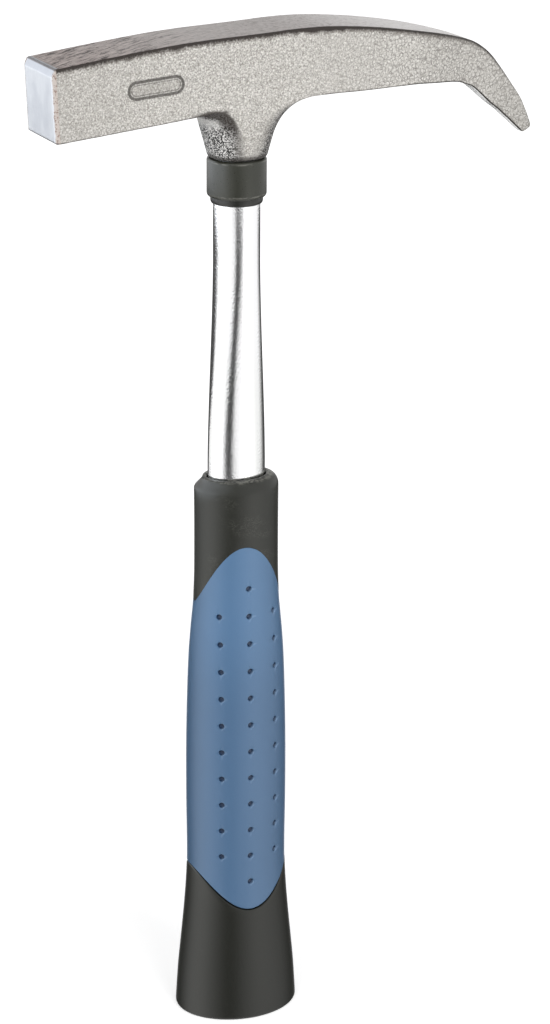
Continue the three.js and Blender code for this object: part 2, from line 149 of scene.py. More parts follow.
# Shader helpers: expressions on wrapped sockets add their own nodes

def plainColour(levels):  # an sRGB colour, 0 to 255, as the linear numbers a socket takes
    return tuple((v / 255 / 12.92 if v <= 10 else ((v / 255 + 0.055) / 1.055) ** 2.4) for v in levels)


class Wire:  # one output socket of a material that is being built
    def __init__(self, paint, socket):
        self.paint, self.socket = paint, socket

    def maths(self, operation, first, second=None, clamp=False):
        inputs = {0: first} if second is None else {0: first, 1: second}
        return self.paint.node("ShaderNodeMath", {"operation": operation, "use_clamp": clamp}, inputs)

    def __add__(self, other):
        return self.maths("ADD", self, other)

    def __radd__(self, other):
        return self.maths("ADD", other, self)

    def __sub__(self, other):
        return self.maths("SUBTRACT", self, other)

    def __rsub__(self, other):
        return self.maths("SUBTRACT", other, self)

    def __mul__(self, other):
        return self.maths("MULTIPLY", self, other)

    def __rmul__(self, other):
        return self.maths("MULTIPLY", other, self)

    def __abs__(self):
        return self.maths("ABSOLUTE", self)

    def highest(self, other):
        return self.maths("MAXIMUM", self, other)

    def clipped(self):
        return self.maths("ADD", self, 0.0, clamp=True)

    def step(self, low, high):  # smooth step from 0 at low to 1 at high; low may be the larger
        flip = low > high
        made = self.paint.node("ShaderNodeMapRange", {"interpolation_type": "SMOOTHSTEP"},
                               {"Value": self, "From Min": min(low, high), "From Max": max(low, high)})
        return 1.0 - made if flip else made


class Paint:  # a material that is being built
    def __init__(self, name, holder=None):
        self.material = holder or bpy.data.materials.new(name)
        self.material.use_nodes = True
        self.tree = self.material.node_tree
        self.tree.nodes.clear()

    # Any node: its settings first, then the values or links of its sockets
    def node(self, kind, settings=None, inputs=None, output=0):
        made = self.tree.nodes.new(kind)
        for key, value in (settings or {}).items():
            setattr(made, key, value)
        for key, value in (inputs or {}).items():
            if isinstance(value, Wire):
                self.tree.links.new(value.socket, made.inputs[key])
            else:
                made.inputs[key].default_value = value
        return Wire(self, made.outputs[output]) if len(made.outputs) else None

    @cached_property
    def place(self):  # the place on the object, from one node for the whole material
        return self.node("ShaderNodeTexCoord", output="Object")

    def attribute(self, name):
        return self.node("ShaderNodeAttribute", {"attribute_name": name}, output="Fac")

    def parts(self):  # x, y and z of the place on the object, in metres
        split = self.node("ShaderNodeSeparateXYZ", {}, {0: self.place})
        return [Wire(self, split.socket.node.outputs[axis]) for axis in "XYZ"]

    def inCells(self, place, sizes):  # a place counted in cells of a size in mm for each axis
        scale = tuple(1000.0 / size for size in sizes)
        return self.node("ShaderNodeMapping", {}, {"Vector": place or self.place, "Scale": scale})

    # Noise whose lattice is `size` mm, or a size for each axis. It runs round 0.5.
    def noise(self, size, detail=2.0, roughness=0.5, place=None):
        cells = self.inCells(place, size if isinstance(size, tuple) else (size, size, size))
        inputs = {"Vector": cells, "Scale": 1.0, "Detail": detail, "Roughness": roughness}
        return self.node("ShaderNodeTexNoise", {}, inputs)

    # Distance to the lines of a net whose cells are `size` mm, in cells, bent by a noise
    def netLines(self, size, bend):
        cells = self.inCells(None, (size, size, size))
        inputs = {"Vector": cells, "Scale": 1.3, "Detail": 1.0}
        away = self.node("ShaderNodeTexNoise", {}, inputs, output="Color")
        inputs = {0: away, 1: (bend, bend, bend), 2: cells}
        bent = self.node("ShaderNodeVectorMath", {"operation": "MULTIPLY_ADD"}, inputs)
        net = {"feature": "DISTANCE_TO_EDGE"}
        return self.node("ShaderNodeTexVoronoi", net, {"Vector": bent, "Scale": 1.0})

    def mixed(self, factor, first, second):  # colours as sRGB from 0 to 255, or wires
        first, second = ((*plainColour(c), 1.0) if isinstance(c, tuple) else c for c in (first, second))
        inputs = {0: factor, 6: first, 7: second}
        return self.node("ShaderNodeMix", {"data_type": "RGBA"}, inputs, output=2)

    def layered(self, colour, *layers):  # each layer is a mask and a colour, laid over the ones before
        for mask, shade in layers:
            colour = self.mixed(mask, colour, shade)
        return colour

    def output(self, shader, kind="Material"):
        self.node(f"ShaderNodeOutput{kind}", {}, {"Surface": shader})
        return self.material

    # The principled shader, with a bump of the height times a depth in mm
    def surface(self, colour, roughness, height, depth, metallic=0.0):
        inputs = {"Height": height, "Distance": depth * 0.001, "Strength": 1.0}
        bumped = self.node("ShaderNodeBump", {}, inputs)
        inputs = {"Base Color": colour, "Metallic": metallic, "Roughness": roughness, "Normal": bumped}
        return self.output(self.node("ShaderNodeBsdfPrincipled", {}, inputs))


def dress(piece, material, slotName, *nodes):  # its material, its body and the nodes it stands for; slotName is not used
    piece.data.materials.append(material)
    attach(piece, "root")
    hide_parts(*nodes)


# The head: a field that is negative inside, meshed where it crosses zero

headShape = {
    # cuts from the striking face to the beak's tip: top x z, bottom x z, thickness
    "cuts": [
        [-73.1, 360.2, -71.9, 335.0, 25.0],
        [-48.7, 362.9, -48.0, 337.0, 25.0],
        [-24.0, 365.1, -24.0, 339.1, 25.0],
        [1.0, 366.0, 0.0, 341.6, 25.0],
        [25.2, 366.6, 24.7, 342.8, 25.0],
        [46.2, 364.8, 44.3, 342.9, 25.0],
        [66.1, 361.5, 62.7, 343.1, 25.0],
        [78.6, 358.6, 73.6, 342.2, 18.0],
        [88.3, 355.5, 83.4, 341.0, 11.5],
        [93.1, 352.9, 87.2, 339.6, 9.0],
        [97.5, 349.3, 90.1, 338.4, 7.8],
        [101.8, 344.3, 93.3, 335.9, 6.8],
        [106.3, 338.5, 97.7, 332.0, 5.8],
        [111.0, 332.1, 102.2, 328.5, 4.8],
        [115.8, 321.6, 112.2, 319.5, 3.8],
    ],
    # the flat maps over XZ and the cells of the meshing: corners and size of a cell
    "mapLow": (-78.0, 314.0), "mapHigh": (120.0, 372.0), "mapStep": 0.4,
    "gridLow": (-74.3, -13.3, 318.4), "gridHigh": (117.2, 13.3, 367.9), "gridStep": 0.5,
    "taperEasing": 420, "tipEasing": 4, "tipSpan": (104.0, 109.0),
    # flash line under the top edge of each cheek: how ragged it is, and where along the head it
    # gets narrower, down to which share
    "topBevelTall": 1.1, "topBevelDeep": 0.35, "bevelRagged": (0.45, 0.3),
    "bevelFade": (36.0, 76.0), "bevelLeast": 0.25,
    "underRound": 0.9, "beakRound": 0.35, "roundFade": (84.0, 104.0),
    "pollEnd": -60.0,           # the chamfers of the striking face end before this
    "pollTopChamfer": 2.4, "pollTopLean": 0.6, "pollUnderChamfer": 0.6,
    "pollSideChamfer": 1.3, "pollBackChamfer": 0.3,  # on the front corner, and on the back one
    "neckFoot": 322.0, "neckFootRadius": 10.4, "neckPollNarrowing": 0.4,
    "neckWidthSlope": 0.28, "neckDepthSlope": 0.25,
    "neckEdgeRound": 1.8, "neckFootRound": 0.9, "neckInBeam": 6.0, "neckBlend": 1.6,
    "underside": 343.2, "beakFillet": 14.0, "pollFillet": 8.0,
    "flatFoot": 10.2,           # the neck's flat front at the foot, from the axis
    "flatFade": 341.0,          # height where that flat joins the cheek
    "socketRadius": 8.5, "socketTop": 352.0,
    "slabHalf": 12.5, "slabRound": 0.05,
    "panelMiddle": (-35.7, 351.15), "panelHalf": (10.2, 3.05), "panelTilt": 3.5, "panelDepth": 0.3,
    "panelGroove": (0.25, 0.36), "panelField": (-0.95, -1.3), "panelSunk": 0.7,
    "waviness": 0.05, "waveSize": 9.0, "raggedSizes": (2.2, 5.5),
    "highest": 366.6,
    # where the flat cheek ends over the neck: x, z, how far the shade below it reaches, its darkness
    "browLimit": [
        [-24.0, 339.4, 0.5, 0.3], [-21.5, 340.1, 0.6, 0.55], [-19.1, 340.7, 0.9, 0.85],
        [-16.6, 341.2, 1.4, 0.95], [-14.1, 341.1, 3.4, 1.0], [-11.6, 340.9, 4.8, 1.0],
        [-9.2, 339.8, 5.0, 0.95], [-6.9, 337.6, 4.2, 0.88], [-5.0, 334.5, 3.4, 0.66],
        [-3.9, 331.4, 3.0, 0.46], [-3.0, 327.8, 3.0, 0.4], [-2.3, 324.1, 2.8, 0.4],
    ],
    # where the paint of the neck's rough sides, the brow's painted shade and the painted shade at its
    # foot begins and ends, along X or Z
    "roughReach": (38.0, 30.0), "roughTop": (344.5, 343.0), "browStart": (-26.0, -22.0),
    "shadeTall": (336.2, 338.6), "shadeEnd": (-7.5, -11.0), "shadeDark": 0.85,
    "footTall": (324.7, 322.6), "footEnd": (30.0, 20.0),
    # sRGB from 0 to 255; a pair is the two ends of a mottle
    "colours": {
        "steel": ((168, 164, 157), (232, 229, 224)), "lines": (104, 99, 94), "specks": (92, 88, 84),
        "towardsBeak": (140, 138, 132), "towardsPoll": (148, 144, 139), "tip": (88, 86, 82),
        # the top skin's lighter colour towards the beak is a painted highlight
        "skin": ((174, 159, 154), (196, 189, 186)), "skinBeakHighlight": (234, 230, 228),
        "skinMottle": (122, 111, 105), "scratches": (60, 48, 43), "rubbedAndSheen": (222, 212, 207),
        # the flash line is partly a painted dark reflection of the rounded edge, and the halo below it is
        # painted shade
        "flashShadeHalo": (78, 69, 61), "flashLineAndShade": (42, 35, 31),
        # the beak's rim line is painted shade, and its near-white inner side is a painted reflection
        "beakRimShade": (48, 44, 40), "beakInnerReflection": (252, 252, 251), "beakFarLine": (150, 147, 142),
        # the dark beak side of the rough neck, the brow and the neck's foot are painted shade; the pale
        # rough patch is a painted highlight
        "rough": ((30, 28, 27), (232, 230, 227)), "roughBeakShade": (44, 40, 37), "roughLit": (226, 224, 221),
        "browShade": (54, 47, 42), "neckFoot": (56, 52, 49),
        "ground": ((188, 190, 195), (207, 209, 212)), "groundCloud": (174, 177, 184),
        "groundTop": (160, 163, 172), "corner": ((197, 187, 180), (124, 96, 84)),
        "skirt": (70, 62, 58), "lowEdge": (84, 82, 86),
        "groove": (56, 52, 48), "field": (120, 116, 110),
    },
}
farOff = 9.0  # mm, stands in for a distance that plays no part


# Outline of the beam in XZ: a smooth curve over the top rows, back along the bottom rows
def beamOutline(shape, steps=14):
    cuts = np.array(shape["cuts"])
    middles = (cuts[:, 0:2] + cuts[:, 2:4]) / 2
    places = np.concatenate([[0], np.cumsum(np.linalg.norm(np.diff(middles, axis=0), axis=1))])
    wanted = np.interp(np.arange((len(cuts) - 1) * steps + 1) / steps, np.arange(len(cuts)), places)
    dense = curveThrough(cuts, places, wanted)
    dense[:, 4] = np.minimum(dense[:, 4], cuts[:, 4].max())
    return dense


# Distance from points (n, 2) to a polyline (m, 2), and the share along it of the nearest place
def lineDistance(points, line):
    start, step = line[:-1], np.diff(line, axis=0)
    length2 = (step ** 2).sum(1)
    best, where = np.full(len(points), 1e9), np.zeros(len(points))
    for chunk in np.array_split(np.arange(len(points)), max(1, len(points) // 6000)):
        away = points[chunk, None, :] - start[None]
        share = np.clip((away * step).sum(2) / length2, 0.0, 1.0)
        gap = np.linalg.norm(away - share[..., None] * step, axis=2)
        nearest = gap.argmin(1)
        rows = np.arange(len(chunk))
        best[chunk], where[chunk] = gap[rows, nearest], nearest + share[rows, nearest]
    return best, where


# Flat maps over XZ that the field looks up: the distance to the outline, below 0 inside, the
# distances inwards from the top, bottom and striking lines, and half the thickness
class BeamMaps:
    def __init__(self, shape):
        self.low, self.step = np.array(shape["mapLow"]), shape["mapStep"]
        dense = beamOutline(shape)
        top, bottom = dense[:, 0:2], dense[:, 2:4]
        xs, zs = (np.arange(low, high, self.step) for low, high in zip(self.low, shape["mapHigh"]))
        grid = np.stack(np.meshgrid(xs, zs, indexing="ij"), -1)
        flat = grid.reshape(-1, 2)
        topGap, _ = lineDistance(flat, top)
        underGap, _ = lineDistance(flat, bottom)
        faceGap, _ = lineDistance(flat, np.stack([bottom[0], top[0]]))
        tipGap, _ = lineDistance(flat, np.stack([top[-1], bottom[-1]]))
        gap = np.minimum(np.minimum(topGap, underGap), np.minimum(faceGap, tipGap))
        inside = self.insideOf(flat, np.concatenate([top, bottom[::-1]]))
        _, along = lineDistance(flat, (top + bottom) / 2)
        half = np.interp(along, np.arange(len(dense)), dense[:, 4] / 2)
        # a gap is negative where its own line is the nearest and the place lies outside the outline
        signed = [np.where(~inside & (g == gap), -g, g) for g in (topGap, underGap, faceGap)]
        sheets = np.stack([np.where(inside, -gap, gap), *signed, half], -1)
        self.maps = sheets.reshape(len(xs), len(zs), 5)
        self.maps[..., 4] = self.evened(self.maps[..., 4], shape["taperEasing"])  # the beak's taper
        tip = smoothStep(*shape["tipSpan"], xs)[:, None]
        rounder = self.evened(self.maps[..., 0], shape["tipEasing"])  # rounds the tip
        self.maps[..., 0] += tip * (rounder - self.maps[..., 0])

    def evened(self, sheet, times):  # each value turns into a quarter, a half and a quarter of its row
        sheet = sheet.copy()
        for _ in range(times):
            sheet[1:-1] = (sheet[:-2] + 2 * sheet[1:-1] + sheet[2:]) / 4
            sheet[:, 1:-1] = (sheet[:, :-2] + 2 * sheet[:, 1:-1] + sheet[:, 2:]) / 4
        return sheet

    def insideOf(self, points, ring):  # a level line to one side crosses the ring an odd number of times
        inside = np.zeros(len(points), bool)
        for a, b in zip(ring, np.roll(ring, -1, axis=0)):
            if a[1] == b[1]:
                continue
            crosses = (a[1] > points[:, 1]) != (b[1] > points[:, 1])
            edge = (b[0] - a[0]) * (points[:, 1] - a[1]) / (b[1] - a[1]) + a[0]
            inside ^= crosses & (points[:, 0] < edge)
        return inside

    def at(self, x, z):  # bilinear look-up
        u = np.clip((x - self.low[0]) / self.step, 0, self.maps.shape[0] - 1.001)
        v = np.clip((z - self.low[1]) / self.step, 0, self.maps.shape[1] - 1.001)
        i, j = u.astype(int), v.astype(int)
        s, t = (u - i)[..., None], (v - j)[..., None]
        m = self.maps
        near, far = m[i, j] * (1 - s) + m[i + 1, j] * s, m[i, j + 1] * (1 - s) + m[i + 1, j + 1] * s
        return near * (1 - t) + far * t


def roundedBoth(a, b, radius):  # the part inside both a and b, its edge rounded to a radius
    corner = np.hypot(np.maximum(a + radius, 0), np.maximum(b + radius, 0))
    return np.minimum(np.maximum(a, b), -radius) + corner


def blendedEither(a, b, width):  # the part inside a or b, the inner corner filled over a width
    near = np.maximum(width - np.abs(a - b), 0.0) / width
    return np.minimum(a, b) - near * near * width / 4


def filletSpread(rise, fullRise, radius):  # how far a fillet of one radius stands out at a height
    reach = np.clip(rise - (fullRise - radius), 0.0, radius)
    return radius - np.sqrt(radius * radius - reach * reach)


# Distance to the panel's outline, below 0 inside: a bar with full round ends, tilted on the cheek
def panelDistance(shape, x, z):
    c, s = math.cos(math.radians(shape["panelTilt"])), math.sin(math.radians(shape["panelTilt"]))
    dx, dz = x - shape["panelMiddle"][0], z - shape["panelMiddle"][1]
    along, across = dx * c + dz * s, dz * c - dx * s
    halfLong, halfHigh = shape["panelHalf"]
    past = np.maximum(np.abs(along) - (halfLong - halfHigh), 0.0)
    return np.hypot(past, across) - halfHigh


# Share of the panel's depth: a bell-shaped groove just inside the outline, a raised rim inside
# that, and a smooth step down to a field in the middle
def panelProfile(shape, panel):
    inset, spread = shape["panelGroove"]
    groove = np.exp(-((panel + inset) / spread) ** 2)
    return np.maximum(groove, shape["panelSunk"] * smoothStep(*shape["panelField"], panel))


# The head's field at points (..., 3), in mm and below 0 inside. The beam is the outline cut by
# its half thickness, which a soft noise makes wavy. The neck is a cone whose half widths are a
# slope times the height plus a fillet, cut by a flat front, and it joins the beam over a blend.
# The panel and the socket are taken away. With withParts it also gives the paint's distances.
def headField(shape, maps, points, withParts=False):
    x, y, z = points[..., 0], points[..., 1], points[..., 2]
    looked = maps.at(x, z)
    outline, topGap, underGap, faceGap, half = (looked[..., i] for i in range(5))
    wave = shape["waviness"] * softNoise(points, shape["waveSize"], 3)
    small, large = shape["raggedSizes"]
    ragged = (softNoise(points, small, 5) + softNoise(points, large, 6)) * 0.5
    cheek = np.abs(y) - half + wave
    beakShare = smoothStep(*shape["roundFade"], x)
    edge = shape["underRound"] + (shape["beakRound"] - shape["underRound"]) * beakShare
    beam = roundedBoth(outline, cheek, edge)
    least, (tallRagged, deepRagged) = shape["bevelLeast"], shape["bevelRagged"]
    width = least + (1 - least) * (1.0 - smoothStep(*shape["bevelFade"], x))
    tall = shape["topBevelTall"] * width * (1 + tallRagged * ragged)
    deep = shape["topBevelDeep"] * width * (1 + deepRagged * ragged)
    bevel = (-topGap / tall + cheek / deep + 1) / np.hypot(1 / tall, 1 / deep)
    beam = np.maximum(beam, np.where(topGap < 6, bevel, -farOff))
    # chamfers round the striking face
    root, lean = math.sqrt(0.5), shape["pollTopLean"]
    side = np.where(y < 0, shape["pollSideChamfer"], shape["pollBackChamfer"])
    behind = np.where(x < shape["pollEnd"], -faceGap, -farOff)
    beam = np.maximum(beam, (behind + cheek + side) * root)
    leaning = behind - topGap * lean + shape["pollTopChamfer"] * lean
    beam = np.maximum(beam, leaning / math.hypot(1.0, lean))
    beam = np.maximum(beam, (behind - underGap + shape["pollUnderChamfer"]) * root)

    fullRise = shape["underside"] - shape["neckFoot"]
    rise = z - shape["neckFoot"]
    base = shape["neckFootRadius"] + shape["neckWidthSlope"] * rise
    beakSide = base + filletSpread(rise, fullRise, shape["beakFillet"])
    pollSide = base - shape["neckPollNarrowing"] + filletSpread(rise, fullRise, shape["pollFillet"])
    reachX = np.where(x > 0, beakSide, pollSide)
    reachY = shape["neckFootRadius"] + shape["neckDepthSlope"] * rise
    reachY = reachY + filletSpread(rise, fullRise, shape["pollFillet"])
    away = np.hypot(x, y) + 1e-6
    ratio = np.hypot(x / reachX, y / reachY) + 1e-6
    cone = away - away / ratio
    lowered = np.clip((shape["flatFade"] - z) / (shape["flatFade"] - shape["neckFoot"]), 0, 1)
    flat = shape["slabHalf"] - (shape["slabHalf"] - shape["flatFoot"]) * lowered ** 2
    front = np.abs(y) - flat + wave
    neck = roundedBoth(cone, front, shape["neckEdgeRound"])
    neck = roundedBoth(neck, shape["neckFoot"] - z, shape["neckFootRound"])
    neck = np.maximum(neck, z - shape["underside"] - shape["neckInBeam"])
    blank = blendedEither(beam, neck, shape["neckBlend"])
    blank = roundedBoth(blank, np.abs(y) - shape["slabHalf"] + wave, shape["slabRound"])
    panel = np.where(y < 0, panelDistance(shape, x, z), farOff)
    blank = np.maximum(blank, cheek + shape["panelDepth"] * panelProfile(shape, panel))
    socket = np.maximum(np.hypot(x, y) - shape["socketRadius"], z - shape["socketTop"])
    whole = np.maximum(np.maximum(blank, -socket), z - shape["highest"])
    if not withParts:
        return whole
    return whole, {"topGap": topGap, "underGap": underGap, "faceGap": faceGap, "cheekGap": -cheek,
                   "panel": panel, "cone": cone, "front": -front, "beam": beam}


# Surface of a field: one point in each cell of the grid that the surface crosses, at the mean of
# the crossings on the cell's edges, and a quad round each grid edge that changes sign. Then
# each point moves along the field's slope by value over slope squared, five times.
def meshField(field, low, high, step):
    counts = np.ceil((high - low) / step).astype(int) + 1
    axes = [low[i] + step * np.arange(counts[i]) for i in range(3)]
    values = np.empty(tuple(counts), np.float32)
    for i in range(0, counts[0], 24):
        block = np.stack(np.meshgrid(axes[0][i:i + 24], axes[1], axes[2], indexing="ij"), -1)
        values[i:i + 24] = field(block)
    inside = values < 0
    cells = tuple(counts - 1)
    total, crossings = np.zeros((*cells, 3), np.float32), np.zeros(cells, np.float32)
    for axis in range(3):
        near, far = [slice(None)] * 3, [slice(None)] * 3
        near[axis], far[axis] = slice(0, -1), slice(1, None)
        a, b = values[tuple(near)], values[tuple(far)]
        crossed = (a < 0) != (b < 0)
        share = np.where(crossed, a / np.where(crossed, a - b, 1), 0)
        others = [k for k in range(3) if k != axis]
        for shiftA in (0, 1):
            for shiftB in (0, 1):
                window = [slice(None)] * 3
                window[others[0]] = slice(shiftA, cells[others[0]] + shiftA)
                window[others[1]] = slice(shiftB, cells[others[1]] + shiftB)
                hit, part = crossed[tuple(window)], share[tuple(window)]
                crossings += hit
                total[..., axis] += hit * part
                total[..., others[0]] += hit * shiftA
                total[..., others[1]] += hit * shiftB
    active = crossings > 0
    number = np.full(cells, -1, np.int64)
    number[active] = np.arange(active.sum())
    corner = np.stack(np.nonzero(active), -1)
    points = low + step * (corner + total[active] / crossings[active][:, None])
    quads = []
    for axis in range(3):
        others = [k for k in range(3) if k != axis]
        near, far = [slice(1, -1)] * 3, [slice(1, -1)] * 3
        near[axis], far[axis] = slice(0, -1), slice(1, None)
        a, b = inside[tuple(near)], inside[tuple(far)]
        for leaving in (True, False):
            spots = np.stack(np.nonzero(a & ~b if leaving else ~a & b), -1)
            spots[:, others[0]] += 1
            spots[:, others[1]] += 1
            ring = []
            for shiftA, shiftB in ((0, 0), (-1, 0), (-1, -1), (0, -1)):
                cell = spots.copy()
                cell[:, others[0]] += shiftA
                cell[:, others[1]] += shiftB
                ring.append(number[tuple(cell.T)])
            turn = leaving != (axis == 1)
            quads.append(np.stack(ring if turn else ring[::-1], -1))
    probe = 0.05
    for _ in range(5):
        middle = field(points)
        slope = [(field(points + e) - field(points - e)) / (2 * probe) for e in probe * np.eye(3)]
        slope = np.stack(slope, -1)
        size = np.maximum((slope ** 2).sum(-1), 0.25)
        points = points - np.clip(middle / size, -0.2, 0.2)[:, None] * slope
    return points, np.concatenate(quads)


# For places (n, 2) in XZ: how far each lies below a line of rows that start with x and z, the
# distance to the line with the side as its sign, and the line's two other values at the nearest place
def belowLimit(limit, places):
    gap, where = lineDistance(places, limit[:, :2])
    count = np.arange(len(limit))
    near = [np.interp(where, count, column) for column in limit.T]
    slope = [np.interp(where, count, np.gradient(column)) for column in limit.T[:2]]
    side = slope[1] * (places[:, 0] - near[0]) - slope[0] * (places[:, 1] - near[1])
    return gap * np.sign(side), near[2], near[3]


# The meshed head, with the distances and the masks that its material reads
def makeHead(shape):
    maps = BeamMaps(shape)
    low, high = np.array(shape["gridLow"]), np.array(shape["gridHigh"])
    points, quads = meshField(lambda p: headField(shape, maps, p), low, high, shape["gridStep"])
    head = meshPiece("head", points, [quads])
    _, parts = headField(shape, maps, points, withParts=True)
    x, z = points[:, 0], points[:, 2]
    insideNeck = smoothStep(1.2, -0.6, parts["cone"])
    parts["underGap"] = parts["underGap"] + 20 * insideNeck
    for name in ("topGap", "underGap", "faceGap", "cheekGap", "panel"):
        paintAttribute(head, name, np.minimum(parts[name], 20.0))
    # the neck's rough round sides, the brow's painted shade where they run under the cheek, and the
    # painted shade at its foot
    behind = np.maximum(parts["front"], 0)
    inFront = np.where(parts["cone"] < -0.05, parts["cone"], -farOff)
    across = np.where(behind > 0.04, behind, inFront)  # over the flat's edge, below 0 on the flat
    below, reach, depth = belowLimit(np.array(shape["browLimit"]), points[:, [0, 2]])
    leftSide = smoothStep(1.0, -1.0, x)
    soft = 0.6 + 1.6 * smoothStep(335.0, 328.0, z)
    roundSides = smoothStep(-0.5, 1.0, across) * smoothStep(-soft, 2.0 * soft, below) * leftSide
    roundSides = roundSides + smoothStep(-0.1, 1.9, across) * (1 - leftSide)
    roundSides = roundSides * smoothStep(-0.3, 0.3, parts["beam"])
    roundSides = roundSides * smoothStep(*shape["roughReach"], np.abs(x))
    roundSides = roundSides * smoothStep(*shape["roughTop"], z)
    browShade = depth * smoothStep(-soft, soft, below) * np.exp(-(np.maximum(below - 0.6, 0) / reach) ** 2)
    started = smoothStep(*shape["browStart"], x)
    browShade = browShade * started * smoothStep(7.5, 10.0, np.abs(points[:, 1]))
    shaded = smoothStep(*shape["shadeTall"], z) * smoothStep(*shape["shadeEnd"], x)
    shaded = shaded * smoothStep(0.02, 0.3, parts["beam"])
    browShade = np.maximum(browShade, shaded * started * shape["shadeDark"])
    paintAttribute(head, "neckRound", roundSides)
    paintAttribute(head, "browShade", browShade)
    paintAttribute(head, "foot", smoothStep(*shape["footTall"], z) * smoothStep(*shape["footEnd"], x))
    print("head:", len(points), "points,", 2 * len(quads), "triangles")
    return head


# The head's finish: one colour per area of the forging, each laid over the ones before
def headSteel(tone):
    paint = Paint("forgedSteel")
    x, y, z = paint.parts()
    along, up = x * 1000.0, z * 1000.0
    fine = paint.noise(0.62, 1.5, 0.6)
    coarse = paint.noise(1.4, 2.5, 0.6)
    broad = paint.noise(10.0, 2.0)

    # the blasted coat: mottled, with short lines, and a net of lines on the beak
    beakward = along.step(5.0, 60.0)
    worms = paint.netLines(1.25, 0.6).step(0.17, 0.03) * coarse.step(0.36, 0.54)
    tiny = abs(paint.noise(0.8, 0.6) - 0.5).step(0.09, 0.01)
    lines = tiny * (1.0 - beakward) + worms * beakward
    mottle = (fine - 0.5) * (2.9 - beakward * 0.9) + (coarse - 0.5) * 0.9 + 0.5 + beakward * 0.06
    mottle = mottle.clipped()
    coat = paint.layered(
        paint.mixed(mottle, *tone["steel"]),
        (lines * (0.46 + beakward * 0.22), tone["lines"]),
        (along.step(80.0, 114.0) * 0.3, tone["towardsBeak"]),
        (along.step(-30.0, -60.0) * 0.14, tone["towardsPoll"]),
        (paint.noise(3.2, 2.0).step(0.75, 0.79), tone["specks"]))

    # the top keeps its brown forging skin, scratched along its length; it is painted lighter from the
    # poll end towards the beak, a painted highlight where the top catches the light
    topGap, cheekGap = paint.attribute("topGap"), paint.attribute("cheekGap")
    under, face = paint.attribute("underGap"), paint.attribute("faceGap")
    mottledTop = ((coarse - 0.5) * 3.6 + (fine - 0.5) * 2.6 + 0.22).clipped() * along.step(-30.0, 10.0)
    turned = {0: x * 0.93 + y * 0.37, 1: y * 0.93 - x * 0.37, 2: z}
    slanted = paint.node("ShaderNodeCombineXYZ", {}, turned)
    streaks = paint.noise((6.0, 1.3, 6.0), 4.0, 0.75, slanted)
    scratches = streaks.step(0.52, 0.58) * (along.step(0.0, -60.0) * 0.95 + 0.1)
    marks = paint.noise((4.0, 1.8, 4.0), 2.0, 0.6).step(0.62, 0.7) * along.step(120.0, 0.0)
    scuffed = (scratches + marks * 0.36).clipped()
    skin = paint.layered(
        paint.mixed(along.step(-75.0, -5.0), *tone["skin"]),
        (along.step(8.0, 64.0), tone["skinBeakHighlight"]),
        (mottledTop * (along.step(60.0, 20.0) * 0.3 + 0.2), tone["skinMottle"]),
        (scuffed, tone["scratches"]),
        (streaks.step(0.46, 0.36) * along.step(20.0, -50.0) * 0.75, tone["rubbedAndSheen"]))
    onTop = topGap.step(0.35, 0.15) * cheekGap.step(0.02, 0.3)
    colour = paint.mixed(onTop, coat, skin)

    # the flash line: the dark trimmed flash line with a painted dark reflection of the rounded edge,
    # crisp above, with a ragged and softer lower edge of painted shade, thinner beakwards
    fade = along.step(72.0, 28.0) * 0.6 + along.step(104.0, 76.0) * 0.4
    jag = ((coarse - 0.5) * 1.2 + (fine - 0.5) * 0.8 - broad.step(0.5, 0.7) + 0.15) * (fade * 0.9 + 0.1)
    fromEdge = topGap.highest(cheekGap)
    onCheek = cheekGap.step(0.9, 0.5)
    band = (fromEdge + jag - fade * 0.65).step(1.15, 0.15).highest(fromEdge.step(0.5, 0.25))
    band = band * along.step(111.0, 96.0)
    shadeHalo = (fromEdge + jag * 1.6 - 0.8 - fade * 0.3).step(1.8, 0.3) * along.step(104.0, 72.0)
    colour = paint.layered(colour, (shadeHalo * onCheek * 0.58, tone["flashShadeHalo"]),
                           (band * onCheek * 0.95, tone["flashLineAndShade"]))

    # the beak's inner side is bare steel, painted near white as a painted reflection, with a line of
    # painted shade on the edge
    inner = under.step(0.4, 0.2) * along.step(58.0, 64.0) * cheekGap.step(0.35, 0.6)
    farLine = inner * cheekGap.step(1.15, 0.85) * (y * 1000.0).step(0.0, 0.4)
    rim = under.step(0.75, 0.35) * (0.6 + along.step(56.0, 66.0) * 0.4) * (1.0 - inner)
    rim = rim * along.step(113.0, 111.0)
    colour = paint.layered(
        colour, (rim, tone["beakRimShade"]), (inner, tone["beakInnerReflection"]), (farLine * 0.6, tone["beakFarLine"]),
        (along.step(111.0, 116.0) * 0.25, tone["tip"]))

    # the neck's rough round sides, painted darker on the beak side as painted shade, with a painted
    # highlight just under the poll's brow, then the brow's painted shade and the painted shade at the
    # foot
    roundSides, browShade = paint.attribute("neckRound"), paint.attribute("browShade")
    grit = paint.noise((0.55, 0.55, 0.42), 2.0, 0.6)
    gritty = ((grit - 0.5) * 9.0 + (coarse - 0.5) * 1.6 + 0.38).clipped()
    lit = up.step(333.0, 335.0) * up.step(337.4, 336.2) * along.step(-9.0, -12.0)
    rough = paint.layered(
        paint.mixed(gritty, *tone["rough"]),
        (along.step(1.0, 4.0) * (gritty.step(0.75, 0.35) * 0.5 + 0.3), tone["roughBeakShade"]),
        (lit * 0.7, tone["roughLit"]))
    shade = (browShade * 1.35 + (grit - 0.5) * 1.4 * browShade).clipped()
    footShade = (paint.attribute("foot") + (coarse - 0.5) * 0.8).step(0.2, 0.9)
    colour = paint.layered(
        colour, (roundSides, rough), (shade * 0.88, tone["browShade"]), (footShade * 0.8, tone["neckFoot"]))

